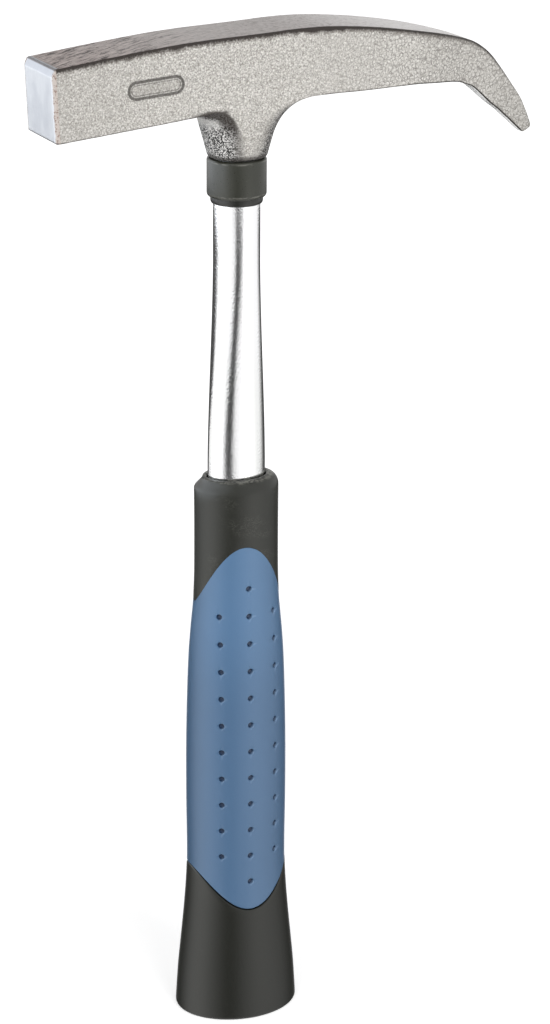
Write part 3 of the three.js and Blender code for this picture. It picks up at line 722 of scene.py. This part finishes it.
    # the striking face is ground bright; the chamfer on its front corner is left pale and rough
    clouded = paint.noise((9.0, 9.0, 14.0), 2.0).step(0.42, 0.66)
    ground = paint.layered(
        paint.mixed(paint.noise((1.2, 0.9, 14.0), 3.0), *tone["ground"]),
        (clouded * 0.5, tone["groundCloud"]), (topGap.step(2.6, 2.2) * 0.5, tone["groundTop"]))
    specks = (fine * 0.55 + coarse * 0.45).step(0.5, 0.4)
    strip = face.step(1.7, 1.3)
    polished = face.step(2.6, 2.4) * (cheekGap + (coarse - 0.5) * 0.7).step(0.9, 1.2)
    skirt = (face + (fine - 0.5) * 0.9).step(2.4, 1.2) * face.step(0.9, 1.3) * topGap.step(0.7, 0.3)
    lowEdge = face.step(1.2, 0.9) * under.step(0.8, 0.45)
    colour = paint.layered(
        colour, (strip, paint.mixed(specks * 0.8, *tone["corner"])), (polished, ground),
        (skirt * 0.85, tone["skirt"]), (lowEdge * 0.8, tone["lowEdge"]))

    # the panel: a dark groove, a thinner line inside it and a duller field
    panel = paint.attribute("panel")
    groove = abs(panel + 0.25).step(0.75, 0.3)
    innerLine = abs(panel + 1.25).step(0.34, 0.1)
    colour = paint.layered(colour, ((groove * 0.8).highest(innerLine * 0.5), tone["groove"]),
                           (panel.step(-1.0, -1.3) * 0.22, tone["field"]))

    bare = (onTop + face.step(2.0, 1.5)).clipped()
    height = (1.0 - lines) * 0.5 + mottle * 0.5 + roundSides * gritty * 1.2
    height = height * (1.0 - (bare + inner).clipped() * 0.85) - scuffed * onTop * 0.5
    roughness = 0.42 + (coarse - 0.5) * 0.3 + roundSides * 0.15 - bare * 0.06 - inner * 0.2
    metallic = 0.36 + bare * 0.1 + inner * 0.5 - strip * (1.0 - polished) * 0.4
    return paint.surface(colour, roughness, height, 0.085, metallic)


head = makeHead(headShape)
dress(head, headSteel(headShape["colours"]), "forged_steel", "hammer_head")


# The handle tube: oval in the grip, drawn round below the head

tubeShape = {
    "foot": 24.0, "top": 351.7, "wall": 1.5,
    "ovalHalf": (10.5, 7.5), "roundRadius": 8.2,
    "drawnFrom": 212.0, "drawnTo": 285.0, "drawnStraight": 0.35,
    "turn": -4.4, "sides": 160,
    "colours": ((253, 253, 254), (238, 239, 237)),
}


# Rings of the tube: an ellipse whose halves go from the oval's to the round's by a mix of the
# straight share of the way and its smooth step
def tubeRings(shape, heights, offset):
    share = np.clip((heights - shape["drawnFrom"]) / (shape["drawnTo"] - shape["drawnFrom"]), 0, 1)
    straight = shape["drawnStraight"]
    eased = straight * share + (1 - straight) * share * share * (3 - 2 * share)
    halfWide = shape["ovalHalf"][0] + (shape["roundRadius"] - shape["ovalHalf"][0]) * eased + offset
    halfDeep = shape["ovalHalf"][1] + (shape["roundRadius"] - shape["ovalHalf"][1]) * eased + offset
    angle = np.arange(shape["sides"]) * 2 * math.pi / shape["sides"]
    rings = np.stack([halfWide[:, None] * np.cos(angle), halfDeep[:, None] * np.sin(angle),
                      np.repeat(heights[:, None], shape["sides"], 1)], -1)
    return turnAboutZ(rings, shape["turn"])


# The outside's rings upwards and the inside's, a wall smaller, downwards make one closed loop
def makeTube(shape):
    heights = np.concatenate([[shape["foot"]], np.linspace(120, shape["drawnFrom"], 6),
                              np.linspace(shape["drawnFrom"], shape["drawnTo"], 60)[1:],
                              np.linspace(shape["drawnTo"], shape["top"], 10)[1:]])
    outside = tubeRings(shape, heights, 0.0)
    inside = tubeRings(shape, heights[::-1], -shape["wall"])
    return skinPiece("tube", np.concatenate([outside, inside]), loop=True)


# Grained bright plating, duller in clouds, and painted darker low down on the right as painted shade in
# its reflection
def chrome(colours):
    paint = Paint("chrome")
    peel = paint.noise(0.6, 2.0, 0.6)
    grain = paint.noise((0.55, 0.55, 0.8), 2.0, 0.6)
    x, _, z = paint.parts()
    cloud = paint.noise((9.0, 9.0, 30.0), 2.0)
    # painted shade: the plating is painted duller low down on the right
    lowRight = (z * 1000.0).step(272.0, 225.0) * (x * 1000.0).step(-2.5, 0.0)
    dullAndShade = cloud.step(0.45, 0.75) * 0.5 + lowRight * 0.7
    colour = paint.mixed(dullAndShade.clipped(), *colours)
    return paint.surface(colour, 0.05 + peel * 0.05, grain, 0.035, metallic=1.0)


tube = makeTube(tubeShape)
dress(tube, chrome(tubeShape["colours"]), "chromed_steel", "handle_tube")
print("tube made")


# Collar under the neck, and the ring that shows below it

collarShape = {
    "radius": 10.4, "bore": 8.5, "foot": 308.2, "top": 321.7, "topRound": 0.9,
    "footTall": 1.3, "footNarrowing": 0.75, "seat": 9.45, "seatTop": 316.2,
    # the pale lines at the heights in highlightAt are painted highlights
    "colours": ((41, 42, 35), (52, 53, 45)), "grainDepth": 0.03, "highlightAt": (309.3, 320.9),
}
ringShape = {
    "radius": 9.15, "bore": 8.5, "foot": 305.8, "top": 315.9, "footTall": 1.3, "footNarrowing": 0.45,
    "colours": ((20, 21, 18), (32, 33, 29)), "grainDepth": 0.02,
}


def quarterRound(middle, radii, start, steps=6):  # an elliptic quarter, (radius, height) pairs
    angle = math.radians(start) + np.linspace(0, math.pi / 2, steps)
    return np.stack([middle[0] + radii[0] * np.cos(angle), middle[1] + radii[1] * np.sin(angle)], -1)


def footCurve(shape):
    return quarterRound((shape["radius"] - shape["footNarrowing"], shape["foot"] + shape["footTall"]),
                        (shape["footNarrowing"], shape["footTall"]), -90)


# Outline of the collar: the rounded foot, the rounded top, the bore, and the seat over the ring
def makeCollar(shape):
    topCurve = quarterRound((shape["radius"] - shape["topRound"], shape["top"] - shape["topRound"]),
                            (shape["topRound"], shape["topRound"]), 0)
    inner = [[shape["bore"], shape["top"]], [shape["bore"], shape["seatTop"]],
             [shape["seat"], shape["seatTop"]], [shape["seat"], shape["foot"]]]
    return turnedPiece("collar", np.concatenate([footCurve(shape), topCurve, inner]))


# Outline of the ring: the rounded foot, a flat top and the bore
def makeRing(shape):
    radius, bore, foot, top = (shape[name] for name in ("radius", "bore", "foot", "top"))
    inner = [[radius, top], [bore, top], [bore, foot]]
    return turnedPiece("ring", np.concatenate([footCurve(shape), inner]))


# Plastic with a grain, clouds, drawn streaks and pale specks, with broken painted highlight lines at the
# given heights in mm
def mouldedPlastic(name, colours, grainDepth, highlightAt=(), grainSize=0.6, roughness=0.3):
    paint = Paint(name)
    grain = paint.noise(grainSize, 3.0, 0.6)
    cloud = paint.noise((9.0, 9.0, 26.0), 2.0)
    streak = paint.noise((1.6, 1.6, 40.0), 2.0)
    colour = paint.mixed(cloud * 0.55 + streak * 0.25 + grain * 0.2, *colours)
    up = paint.parts()[2] * 1000.0
    specksAndHighlights = paint.noise((0.9, 0.9, 0.7), 2.0, 0.6).step(0.72, 0.77)
    # painted highlight: a broken pale line at each given height
    for height in highlightAt:
        near = abs(up - height).step(0.42, 0.12)
        specksAndHighlights = specksAndHighlights.highest(near * paint.noise((3.0, 3.0, 1.2), 3.0, 0.7).step(0.4, 0.62))
    colour = paint.mixed(specksAndHighlights * 0.5, colour, (128, 127, 120))
    return paint.surface(colour, roughness + (grain - 0.5) * 0.16, grain, grainDepth)


collar = makeCollar(collarShape)
ring = makeRing(ringShape)
collarPlastic = mouldedPlastic("collarPlastic", collarShape["colours"], collarShape["grainDepth"],
                               collarShape["highlightAt"])
ringPlastic = mouldedPlastic("ringPlastic", ringShape["colours"], ringShape["grainDepth"])
dress(collar, collarPlastic, "collar_plastic", "neck_collar")
dress(ring, ringPlastic, "collar_plastic", "collar_ring")
print("collar and ring made")


# The grip: a black core that carries a blue sleeve, both on one oval outline

gripShape = {
    # height and half width up the grip
    "outline": [[0, 22.85], [14.5, 21.95], [26.1, 20.85], [37.5, 19.75], [49.1, 18.85],
                [60.0, 18.4], [82.8, 18.6], [103.5, 18.57], [122.1, 18.2], [138.7, 17.6],
                [149.0, 16.85], [160.4, 15.8], [171.8, 15.35], [207.0, 15.35]],
    "depthShare": 0.825,
    "turn": -4.4,
    "length": 207.0,
    "buttRound": 1.6,
    "rimTall": 4.2, "rimNarrowing": 3.0, "rimTop": 206.7, "rimTurn": (0.2, -0.9), "rimPower": 0.8,
    # from the rim in to the tube: share of the way, height
    "rimInside": [[0.3, 206.95], [0.55, 207.0], [0.8, 206.85], [0.94, 206.5], [1.0, 205.9]],
    "lipHalf": (10.8, 7.8),     # bore round the tube
    "boreFloor": 23.7,
    "recess": 2.5,
    # the recess's rounded edges: distance from the edge, and inset
    "lowerLip": [[0.16, 0.06], [0.04, 0.2], [0.0, 0.45]], "lowerLipTall": 0.45,
    "upperLip": [[0.0, 0.12], [0.05, 0.03], [0.2, 0.0]], "upperLipTall": 0.2,
    "upperLow": 160.5, "upperHigh": 183.2, "upperPower": 1.6, "upperTurn": -4.5,
    "lowerHigh": 58.2, "lowerLow": 43.2, "lowerPower": 2.3,
    "sides": 192,
    # the butt's darker black is painted shade, and the pale line round the tube is a painted highlight
    "black": ((23, 24, 19), (40, 41, 35)), "buttShadeBlack": ((15, 16, 11), (26, 27, 20)),
    "hairs": (96, 97, 90), "rubbedAndSheen": (136, 135, 126),
}
sleeveShape = {
    "gapBelow": 0.32, "gapAbove": 0.06, "sunk": 0.06,
    "lowerRound": 0.55, "upperRound": 0.12, "thickness": 2.2,
    "pitRadius": 1.24, "pitDepth": 1.2, "pitEdge": 0.27,
    "pitPitch": 10.28, "pitLowest": 54.4, "pitRows": 12, "pitAcross": 10.5, "pitAngle": 34.7,
    # the grid over angle and height: its cells, and the finer ones this near to a pit's middle
    "wideCell": (1.5, 1.4), "fineCell": (0.17, 0.18), "crowdReach": 1.2,
    "arcRadius": 17.0,          # turns mm round the sleeve into an angle
    "lowerBend": 20.0, "upperBend": 24.4,  # heights over which the rows bend to the arched ends
    "lipHighlightTowards": (0.75, 0.66),  # the side of a pit's rim with the painted highlight: right and down
    "lowBlue": ((74, 107, 142), (85, 115, 148)), "highBlue": ((82, 118, 156), (92, 125, 160)),
    # the pits' dark colour is painted shade, and the pale lip colour is a painted highlight
    "pit": (20, 38, 66), "pitLipHighlight": (146, 172, 202),
}


def halfWidthAt(shape, height):  # the smooth curve through the outline's rows
    heights, halves = np.array(shape["outline"]).T
    return curveThrough(halves[:, None], heights, np.ravel(height))[:, 0].reshape(np.shape(height))


# A point of the grip at an angle from its front face, sunk by an inset: an ellipse whose half
# width follows the outline, and whose half depth is a share of it
def gripPoints(shape, angle, height, inset):
    angle, height, inset = np.broadcast_arrays(angle, height, inset)
    half = halfWidthAt(shape, height)
    deep = half * shape["depthShare"]
    return np.stack([(half - inset) * np.sin(angle), -(deep - inset) * np.cos(angle), height], -1)


# Ends of the sleeve: low at the narrow sides, arched over the broad faces by a power of the cosine
def upperEdge(shape, angle):
    rise = np.abs(np.cos(angle - math.radians(shape["upperTurn"]))) ** shape["upperPower"]
    return shape["upperLow"] + (shape["upperHigh"] - shape["upperLow"]) * rise


def lowerEdge(shape, angle):
    drop = np.abs(np.cos(angle)) ** shape["lowerPower"]
    return shape["lowerHigh"] - (shape["lowerHigh"] - shape["lowerLow"]) * drop


# Rings of (height, inset) up the outside: a quarter round at the butt, straight shares to the
# recess, through it and on to the rim, whose inset is a quarter round on the beak side and a
# power of a smooth step on the poll side. Then shares of the way in to the bore, and down it.
def makeCore(shape):
    angle = np.arange(shape["sides"]) * 2 * math.pi / shape["sides"]
    lower, upper = lowerEdge(shape, angle), upperEdge(shape, angle)
    flat = np.ones_like(angle)
    quarter = np.linspace(0, math.pi / 2, 7)
    foot, lip = shape["buttRound"], shape["lowerLipTall"]
    rows = [(foot * (1 - math.cos(q)) * flat, foot * (1 - math.sin(q))) for q in quarter]
    rows += [(foot + (lower - lip - foot) * s, 0.0) for s in np.linspace(0, 1, 22)[1:]]
    rows += [(lower - away, inset) for away, inset in shape["lowerLip"]] + [(lower, shape["recess"])]
    rows += [(lower + (upper - lower) * s, shape["recess"]) for s in np.linspace(0, 1, 14)[1:]]
    rows += [(upper + away, inset) for away, inset in shape["upperLip"]]
    rimFoot, lip = shape["rimTop"] - shape["rimTall"], shape["upperLipTall"]
    rows += [(upper + lip + (rimFoot - upper - lip) * s, 0.0) for s in np.linspace(0, 1, 10)[1:]]
    straight = smoothStep(*shape["rimTurn"], np.sin(angle))  # 1 on the poll side, 0 on the beak side
    for q in np.linspace(0, math.pi / 2, 12)[1:]:
        rounded = shape["rimNarrowing"] * (1 - math.cos(q))
        slanted = shape["rimNarrowing"] * smoothStep(0.0, 1.0, math.sin(q)) ** shape["rimPower"]
        inset = rounded + (slanted - rounded) * straight
        rows.append((rimFoot + shape["rimTall"] * math.sin(q) * flat, inset))
    rings = [gripPoints(shape, angle, h, i) for h, i in rows]
    outer = rings[-1]
    wide, deep = shape["lipHalf"]
    bore = np.stack([wide * np.sin(angle), -deep * np.cos(angle), shape["length"] * flat], -1)
    for share, height in [*shape["rimInside"], (1.0, 120.0), (1.0, shape["boreFloor"])]:
        between = outer + (bore - outer) * share
        between[:, 2] = height
        rings.append(between)
    return skinPiece("gripCore", turnAboutZ(np.stack(rings), shape["turn"]), sharpAngle=50)


# Places along a line that crowd together round given spots, for the grid over the pits
def crowdedPlaces(low, high, spots, reach, fine, wide):
    edges = np.arange(low, high + wide / 2, wide)
    near = np.concatenate([np.arange(s - reach, s + reach + fine / 2, fine) for s in spots])
    far = edges[np.abs(edges[:, None] - np.asarray(spots)).min(1) > reach + wide * 0.35]
    near = near[(near > low) & (near < high)]
    return np.unique(np.round(np.concatenate([[low], near, far, [high]]), 5))


# The sleeve's outside is a grid of angle and height. Each pit sinks it by its depth times a
# smooth step of the distance from the pit's middle. The outer columns of pits keep one distance
# from the middle column, so the grid's angles lean outwards there as the grip narrows.
def makeSleeve(shape, look):
    columns = np.radians([0.0, look["pitAngle"], -look["pitAngle"]])
    columns = np.concatenate([columns, columns + math.pi]) % (2 * math.pi)
    reach, perMm = look["crowdReach"], 1 / look["arcRadius"]
    (wideTurn, wideRise), (fineTurn, fineRise) = look["wideCell"], look["fineCell"]
    angle = crowdedPlaces(0.0, 2 * math.pi - 0.5 * perMm, np.append(columns, 2 * math.pi),
                          reach * perMm, fineTurn * perMm, wideTurn * perMm)
    rowsOfPits = look["pitLowest"] + look["pitPitch"] * np.arange(look["pitRows"])
    lowEnd, highEnd = shape["lowerLow"] + look["gapBelow"], shape["upperHigh"] - look["gapAbove"]
    height = crowdedPlaces(lowEnd + look["lowerRound"], highEnd - look["upperRound"], rowsOfPits,
                           reach, fineRise, wideRise)

    def leaned(plain, at):  # the angle of a grid column at a height
        lean = np.arcsin(look["pitAcross"] / halfWidthAt(shape, at)) - math.radians(look["pitAngle"])
        wave = np.sin(2 * plain)
        return plain + lean * wave * np.abs(wave) / math.sin(2 * math.radians(look["pitAngle"])) ** 2

    lower, upper = lowerEdge(shape, angle) + look["gapBelow"], upperEdge(shape, angle) - look["gapAbove"]
    lowerBend, upperBend = look["lowerBend"], look["upperBend"]
    lift = np.clip((lowEnd + lowerBend - height) / lowerBend, 0, 1)[:, None] * (lower - lowEnd)
    sink = np.clip((height - highEnd + upperBend) / upperBend, 0, 1)[:, None] * (highEnd - upper)
    heights = height[:, None] + lift - sink
    angles = leaned(angle, heights)
    plain = gripPoints(shape, angles, heights, look["sunk"])
    pit, lip = np.zeros(heights.shape), np.zeros(heights.shape)
    for column in columns:
        middle = abs(math.sin(column)) < 0.1
        nearest = np.round((heights - look["pitLowest"]) / look["pitPitch"])
        nearest = np.clip(nearest, 0 if middle else 1, look["pitRows"] - (1 if middle else 2))
        row = look["pitLowest"] + look["pitPitch"] * nearest
        centre = gripPoints(shape, leaned(column, row), row, look["sunk"])
        away, radius = plain - centre, look["pitRadius"]
        gap = np.linalg.norm(away, axis=-1)
        pit = np.maximum(pit, smoothStep(radius, radius - 2 * look["pitEdge"], gap))
        # the lower right of each pit's rim carries a painted highlight
        right, down = look["lipHighlightTowards"]
        lowRight = (right * away[..., 0] - down * away[..., 2]) / (gap + 0.01)
        rim = smoothStep(radius + 0.1, radius - 0.1, gap) * smoothStep(radius - 0.5, radius - 0.25, gap)
        lip = np.maximum(lip, smoothStep(0.35, 0.9, lowRight) * rim)
    inset = look["sunk"] + look["pitDepth"] * pit
    outside = gripPoints(shape, angles, heights, inset)

    def rolledIn(angle, end, radius, towards, bends):  # a quarter round that ends the sleeve
        return [gripPoints(shape, angle, end + towards * radius * (1 - math.sin(b)),
                           look["sunk"] + radius * (1 - math.cos(b))) for b in bends]

    bend = np.linspace(0, math.pi / 2, 5)
    under = rolledIn(angles[0], lower, look["lowerRound"], 1, bend[::-1][:-1])
    over = rolledIn(angles[-1], upper, look["upperRound"], -1, bend[1:])
    inside = [gripPoints(shape, angles[-1] * (1 - s) + angles[0] * s, upper + (lower - upper) * s,
                         look["thickness"]) for s in np.linspace(0, 1, 16)]
    rings = np.concatenate([np.stack(under), outside, np.stack(over), np.stack(inside)])
    made = skinPiece("gripSleeve", turnAboutZ(rings, shape["turn"]), loop=True, sharpAngle=60)
    for name, values in (("pit", pit), ("pitLipHighlight", lip)):
        share = np.zeros(rings.shape[:2])
        share[len(under):len(under) + len(pit)] = values
        paintAttribute(made, name, share.ravel())
    return made


# Black plastic, painted darker towards the butt as painted shade, with fine hair lines and a painted
# highlight line near the rim
def corePlastic(tone):
    paint = Paint("blackPlastic")
    up = paint.parts()[2] * 1000.0
    grain = paint.noise(0.5, 3.0, 0.6)
    cloud = paint.noise((12.0, 12.0, 40.0), 2.0)
    # fine hair lines below the rim, and a broken painted highlight line round the tube
    hairs = abs(paint.noise((2.2, 2.2, 0.9), 3.0, 0.7) - 0.5).step(0.03, 0.005)
    patches = paint.noise((9.0, 9.0, 7.0), 2.0).step(0.5, 0.66)
    rubbedAndSheen = up.step(206.0, 206.8) * paint.noise((2.0, 2.0, 2.0), 3.0, 0.7).step(0.42, 0.6)
    colour = paint.layered(
        paint.mixed(cloud * 0.5 + grain * 0.5, *tone["black"]),
        (up.step(70.0, 40.0), paint.mixed(grain, *tone["buttShadeBlack"])),
        (hairs * patches * up.step(160.0, 185.0) * 0.3, tone["hairs"]),
        (rubbedAndSheen * 0.6, tone["rubbedAndSheen"]))
    return paint.surface(colour, 0.3 + grain * 0.14, grain, 0.032)


# Blue rubber, a little lighter towards the top, with painted shade in the pits and a painted highlight on
# their lower right rims
def sleeveRubber(tone):
    paint = Paint("blueRubber")
    up = paint.parts()[2] * 1000.0
    grain = paint.noise(0.5, 2.0, 0.6)
    cloud = paint.noise((10.0, 10.0, 50.0), 2.0)
    shade = cloud * 0.6 + grain * 0.4
    colour = paint.layered(
        paint.mixed(shade, *tone["lowBlue"]),
        (up.step(118.0, 160.0), paint.mixed(shade, *tone["highBlue"])),
        (paint.attribute("pit").step(0.1, 0.6) * 0.9, tone["pit"]),
        (paint.attribute("pitLipHighlight") * 0.4, tone["pitLipHighlight"]))
    return paint.surface(colour, 0.26 + grain * 0.1, grain, 0.016)


core = makeCore(gripShape)
sleeve = makeSleeve(gripShape, sleeveShape)
dress(core, corePlastic(gripShape), "grip_black", "grip_core")
dress(sleeve, sleeveRubber(sleeveShape), "grip_blue", "grip_sleeve")
print("grip made:", len(sleeve.data.polygons) * 2, "triangles in the sleeve")


# Carried-over nodes inside the handle

innerShape = {"steel": ((120, 120, 122), (168, 168, 170)), "plastic": ((52, 53, 51), (66, 67, 64))}


# Plain steel with a drawn grain
def rawSteel(colours):
    paint = Paint("rawSteel")
    grain = paint.noise((0.4, 0.4, 3.0), 3.0)
    colour = paint.mixed(grain, *colours)
    return paint.surface(colour, 0.35 + grain * 0.25, grain, 0.02, metallic=0.9)


plugSteel = rawSteel(innerShape["steel"])
stopperPlastic = mouldedPlastic("stopperPlastic", innerShape["plastic"], 0.03,
                                grainSize=0.8, roughness=0.55)
for nodeName, finish in (("wedge_plug", plugSteel), ("foot_stopper", stopperPlastic)):
    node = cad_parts[nodeName]
    node.data.materials.clear()
    node.data.materials.append(finish)
print("inner nodes dressed")


# Floor, reflection cards, lamps, world and camera

viewShape = {
    "place": (-0.4904, -1.0197, 0.58944),
    "heading": 26.383,          # degrees from +Y towards +X
    "down": 19.334,
    "roll": 0.314,
    "focalPixels": 3371.3,
    "pictureTall": 1024,
}
# A round wall of studio cards that only reflections see. Each row holds at one height. Angles
# run from the camera's side, positive to its right, and each end has its softness.
cardShape = {
    "radius": 0.75, "low": -0.9, "high": 1.5,
    "columnStep": 1.5, "fineLow": -0.31, "fineHigh": 0.2, "fineStep": 0.003,
    # height, left end, softness, gap from, gap to, softness, darkness, right end, softness, left glow,
    # right glow, clear behind
    "rows": [
        [-0.30, -102, 24, -12, 18, 11, 0.9, 106, 30, 0.8, 0.3, 1],    # butt and foot of the sleeve
        [-0.20, -102, 24, -12, 18, 11, 0.9, 106, 30, 0.8, 0.66, 1],
        [-0.08, -102, 24, -13, 17, 11, 0.9, 106, 30, 0.76, 0.98, 1],
        [-0.05, -102, 24, -14, 17, 11, 0.9, 106, 30, 0.76, 0.98, 1],  # top of the core
        [-0.045, -130, 8, -22, 6, 8, 0.95, 118, 20, 0.5, 0.5, 0],     # tube
        [0.004, -128, 8, -19, 9, 8, 0.95, 118, 20, 0.5, 0.5, 0],
        [0.028, -116, 8, -13, 14, 8, 0.97, 122, 20, 0.5, 0.5, 0],
        [0.065, -100, 12, -6, 25, 9, 0.94, 132, 20, 0.5, 0.5, 0],
        [0.091, -104, 18, -2, 30, 9, 0.94, 130, 20, 0.5, 0.5, 0],
        [0.117, -118, 32, -2, 33, 9, 1.0, 126, 20, 0.5, 0.5, 0],
        [0.122, -152, 12, -12, 12, 13, 0.62, 150, 20, 1.95, 0.19, 1],  # collar and head
    ],
    "endDark": 0.95,
    # behind the hammer: from which angle, and over which heights it darkens
    "behind": (150, 165), "backSpan": (0.45, 0.59), "backDark": 0.55,
    # the two bright boxes: from, to and the softness of each end, for the grip and for the head
    "leftBox": (-86, -36, 24, 12), "leftBoxHead": (-125, -40, 20, 16), "rightBox": (38, 70, 10, 26),
    "headHeight": 0.119, "warm": (1.0, 0.99, 0.96), "cool": (0.88, 0.95, 1.04),
}
lightShape = {
    "lamps": (("keyLamp", (-1.3, -1.09, 1.1), 11.5), ("fillLamp", (0.09, -1.7, 1.1), 15.5)),
    "lampTarget": (0, 0, 0.2), "lampSize": 1.1,
    "sky": 0.35,
}
floorShape = {
    "half": 9000.0, "grey": 0.93,
    # the floor's glow close to the hammer and far from it, and the distances in metres between them
    "glowNear": 0.54, "glowFar": 0.85, "glowSpan": (0.15, 1.0),
}


# A square floor whose glow grows with the distance from the hammer, so that it ends in white
def makeFloor(shape):
    corners = np.array([[-1, -1, 0], [1, -1, 0], [1, 1, 0], [-1, 1, 0]]) * shape["half"]
    floor = meshPiece("floor", corners, [np.array([[0, 1, 2, 3]])])
    paint = Paint("floorPaint")
    path = paint.node("ShaderNodeLightPath", output="Is Camera Ray")
    away = paint.node("ShaderNodeVectorMath", {"operation": "LENGTH"}, {0: paint.place}, output="Value")
    level = away.step(*shape["glowSpan"]) * (shape["glowFar"] - shape["glowNear"]) + shape["glowNear"]
    matt = paint.node("ShaderNodeBsdfDiffuse", {}, {"Color": (*[shape["grey"]] * 3, 1.0)})
    glow = paint.node("ShaderNodeEmission", {}, {"Color": path * level, "Strength": 1.0})
    both = paint.node("ShaderNodeAddShader", {}, {0: matt, 1: glow})
    floor.data.materials.append(paint.output(both))
    floor.visible_glossy = False


# The wall's darkness and its glow are functions of the angle and the height: windows of angle
# with smooth ends, whose ends and strengths run straight between the rows. It is clear elsewhere.
def makeCards(shape):
    turns = np.arange(-180, 180, shape["columnStep"])
    fineLow, fineHigh = shape["fineLow"], shape["fineHigh"]
    heights = np.concatenate([np.linspace(shape["low"], fineLow - 0.01, 8),
                              np.arange(fineLow, fineHigh, shape["fineStep"]),
                              np.linspace(fineHigh + 0.01, shape["high"], 60)])
    turn, height = np.meshgrid(turns, heights)
    towards = np.radians(turn) - math.radians(viewShape["heading"])
    radius = shape["radius"]
    points = np.stack([radius * np.sin(towards), -radius * np.cos(towards), height], -1) * 1000
    rows = np.array(shape["rows"])
    columns = [np.interp(height, rows[:, 0], column) for column in rows[:, 1:].T]
    leftEnd, leftSoft, gapLow, gapHigh, gapSoft, gapDark = columns[:6]
    rightEnd, rightSoft, leftGlow, rightGlow, clearBehind = columns[6:]

    def window(low, high, softLow, softHigh):
        begun = smoothStep(low - softLow, low + softLow, turn)
        return begun * smoothStep(high + softHigh, high - softHigh, turn)

    behind = smoothStep(*shape["behind"], np.abs(turn))
    high = smoothStep(*shape["backSpan"], height)
    ends = 1 - window(leftEnd, rightEnd, leftSoft, rightSoft)
    ends = ends * (1 - behind * clearBehind) * shape["endDark"]
    gap = window(gapLow, gapHigh, gapSoft, gapSoft) * gapDark
    dark = np.maximum.reduce([gap, ends, behind * high * shape["backDark"]])
    atHead = (height > shape["headHeight"]) * 1.0
    left = window(*shape["leftBox"]) * (1 - atHead) + window(*shape["leftBoxHead"]) * atHead
    glow = left * leftGlow + window(*shape["rightBox"]) * rightGlow
    cards = meshPiece("cards", points.reshape(-1, 3), skinFaces(*turn.shape)[:1])
    for name, values in (("dark", dark), ("glow", glow), ("cool", atHead)):
        paintAttribute(cards, name, values.ravel())
    paint = Paint("cardPaint")
    black = paint.node("ShaderNodeEmission", {}, {"Color": (0.02, 0.02, 0.02, 1), "Strength": 1.0})
    clear = paint.node("ShaderNodeBsdfTransparent", {}, {})
    shown = paint.node("ShaderNodeMixShader", {}, {0: paint.attribute("dark"), 1: clear, 2: black})
    inputs = {0: paint.attribute("cool"), 6: (*shape["warm"], 1.0), 7: (*shape["cool"], 1.0)}
    tone = paint.node("ShaderNodeMix", {"data_type": "RGBA"}, inputs, output=2)
    inputs = {0: tone, "Scale": paint.attribute("glow")}
    tint = paint.node("ShaderNodeVectorMath", {"operation": "SCALE"}, inputs)
    glowing = paint.node("ShaderNodeEmission", {}, {"Color": tint, "Strength": 1.0})
    both = paint.node("ShaderNodeAddShader", {}, {0: shown, 1: glowing})
    cards.data.materials.append(paint.output(both))
    cards.visible_camera = cards.visible_diffuse = cards.visible_shadow = False
    cards.visible_transmission = cards.visible_volume_scatter = False


def makeLamps(shape):
    for name, place, power in shape["lamps"]:
        data = bpy.data.lights.new(name, "AREA")
        data.shape, data.size, data.energy = "DISK", shape["lampSize"], power
        lamp = bpy.data.objects.new(name, data)
        bpy.context.scene.collection.objects.link(lamp)
        lamp.location = place
        aim = Vector(shape["lampTarget"]) - Vector(place)
        lamp.rotation_euler = aim.to_track_quat("-Z", "Y").to_euler()
        lamp.visible_glossy = False


# White for the camera, for reflections and through clear things, and a softer sky for the rest
def makeWorld(sky):
    world = bpy.data.worlds.new("studio")
    bpy.context.scene.world = world
    paint = Paint("studio", world)
    seen = [paint.node("ShaderNodeLightPath", output=name) for name in
            ("Is Camera Ray", "Is Glossy Ray", "Is Transmission Ray")]
    plain = seen[0].highest(seen[1]).highest(seen[2])
    soft, white = (paint.node("ShaderNodeBackground", {}, {"Color": (1, 1, 1, 1), "Strength": strength})
                   for strength in (sky, 1.0))
    both = paint.node("ShaderNodeMixShader", {}, {0: plain, 1: soft, 2: white})
    paint.output(both, "World")


# The camera looks along +Y with +Z up, until heading, down and roll turn it in this order
def makeCamera(shape):
    data = bpy.data.cameras.new("camera")
    data.sensor_width = 36.0
    data.lens = shape["focalPixels"] * data.sensor_width / shape["pictureTall"]
    data.clip_end = 50.0
    camera = bpy.data.objects.new("camera", data)
    bpy.context.scene.collection.objects.link(camera)
    heading, down, roll = (math.radians(shape[k]) for k in ("heading", "down", "roll"))
    level = math.cos(down)
    ahead = np.array([math.sin(heading) * level, math.cos(heading) * level, -math.sin(down)])
    right = np.array([math.cos(heading), -math.sin(heading), 0.0])
    up = np.cross(right, ahead)
    c, s = math.cos(roll), math.sin(roll)
    turned = np.column_stack([right * c + up * s, up * c - right * s, -ahead, shape["place"]])
    camera.matrix_world = Matrix([*turned.tolist(), [0, 0, 0, 1]])
    bpy.context.scene.camera = camera


makeFloor(floorShape)
makeCards(cardShape)
makeLamps(lightShape)
makeWorld(lightShape["sky"])
makeCamera(viewShape)
bpy.context.scene.view_settings.view_transform = "Standard"
print("stage made")
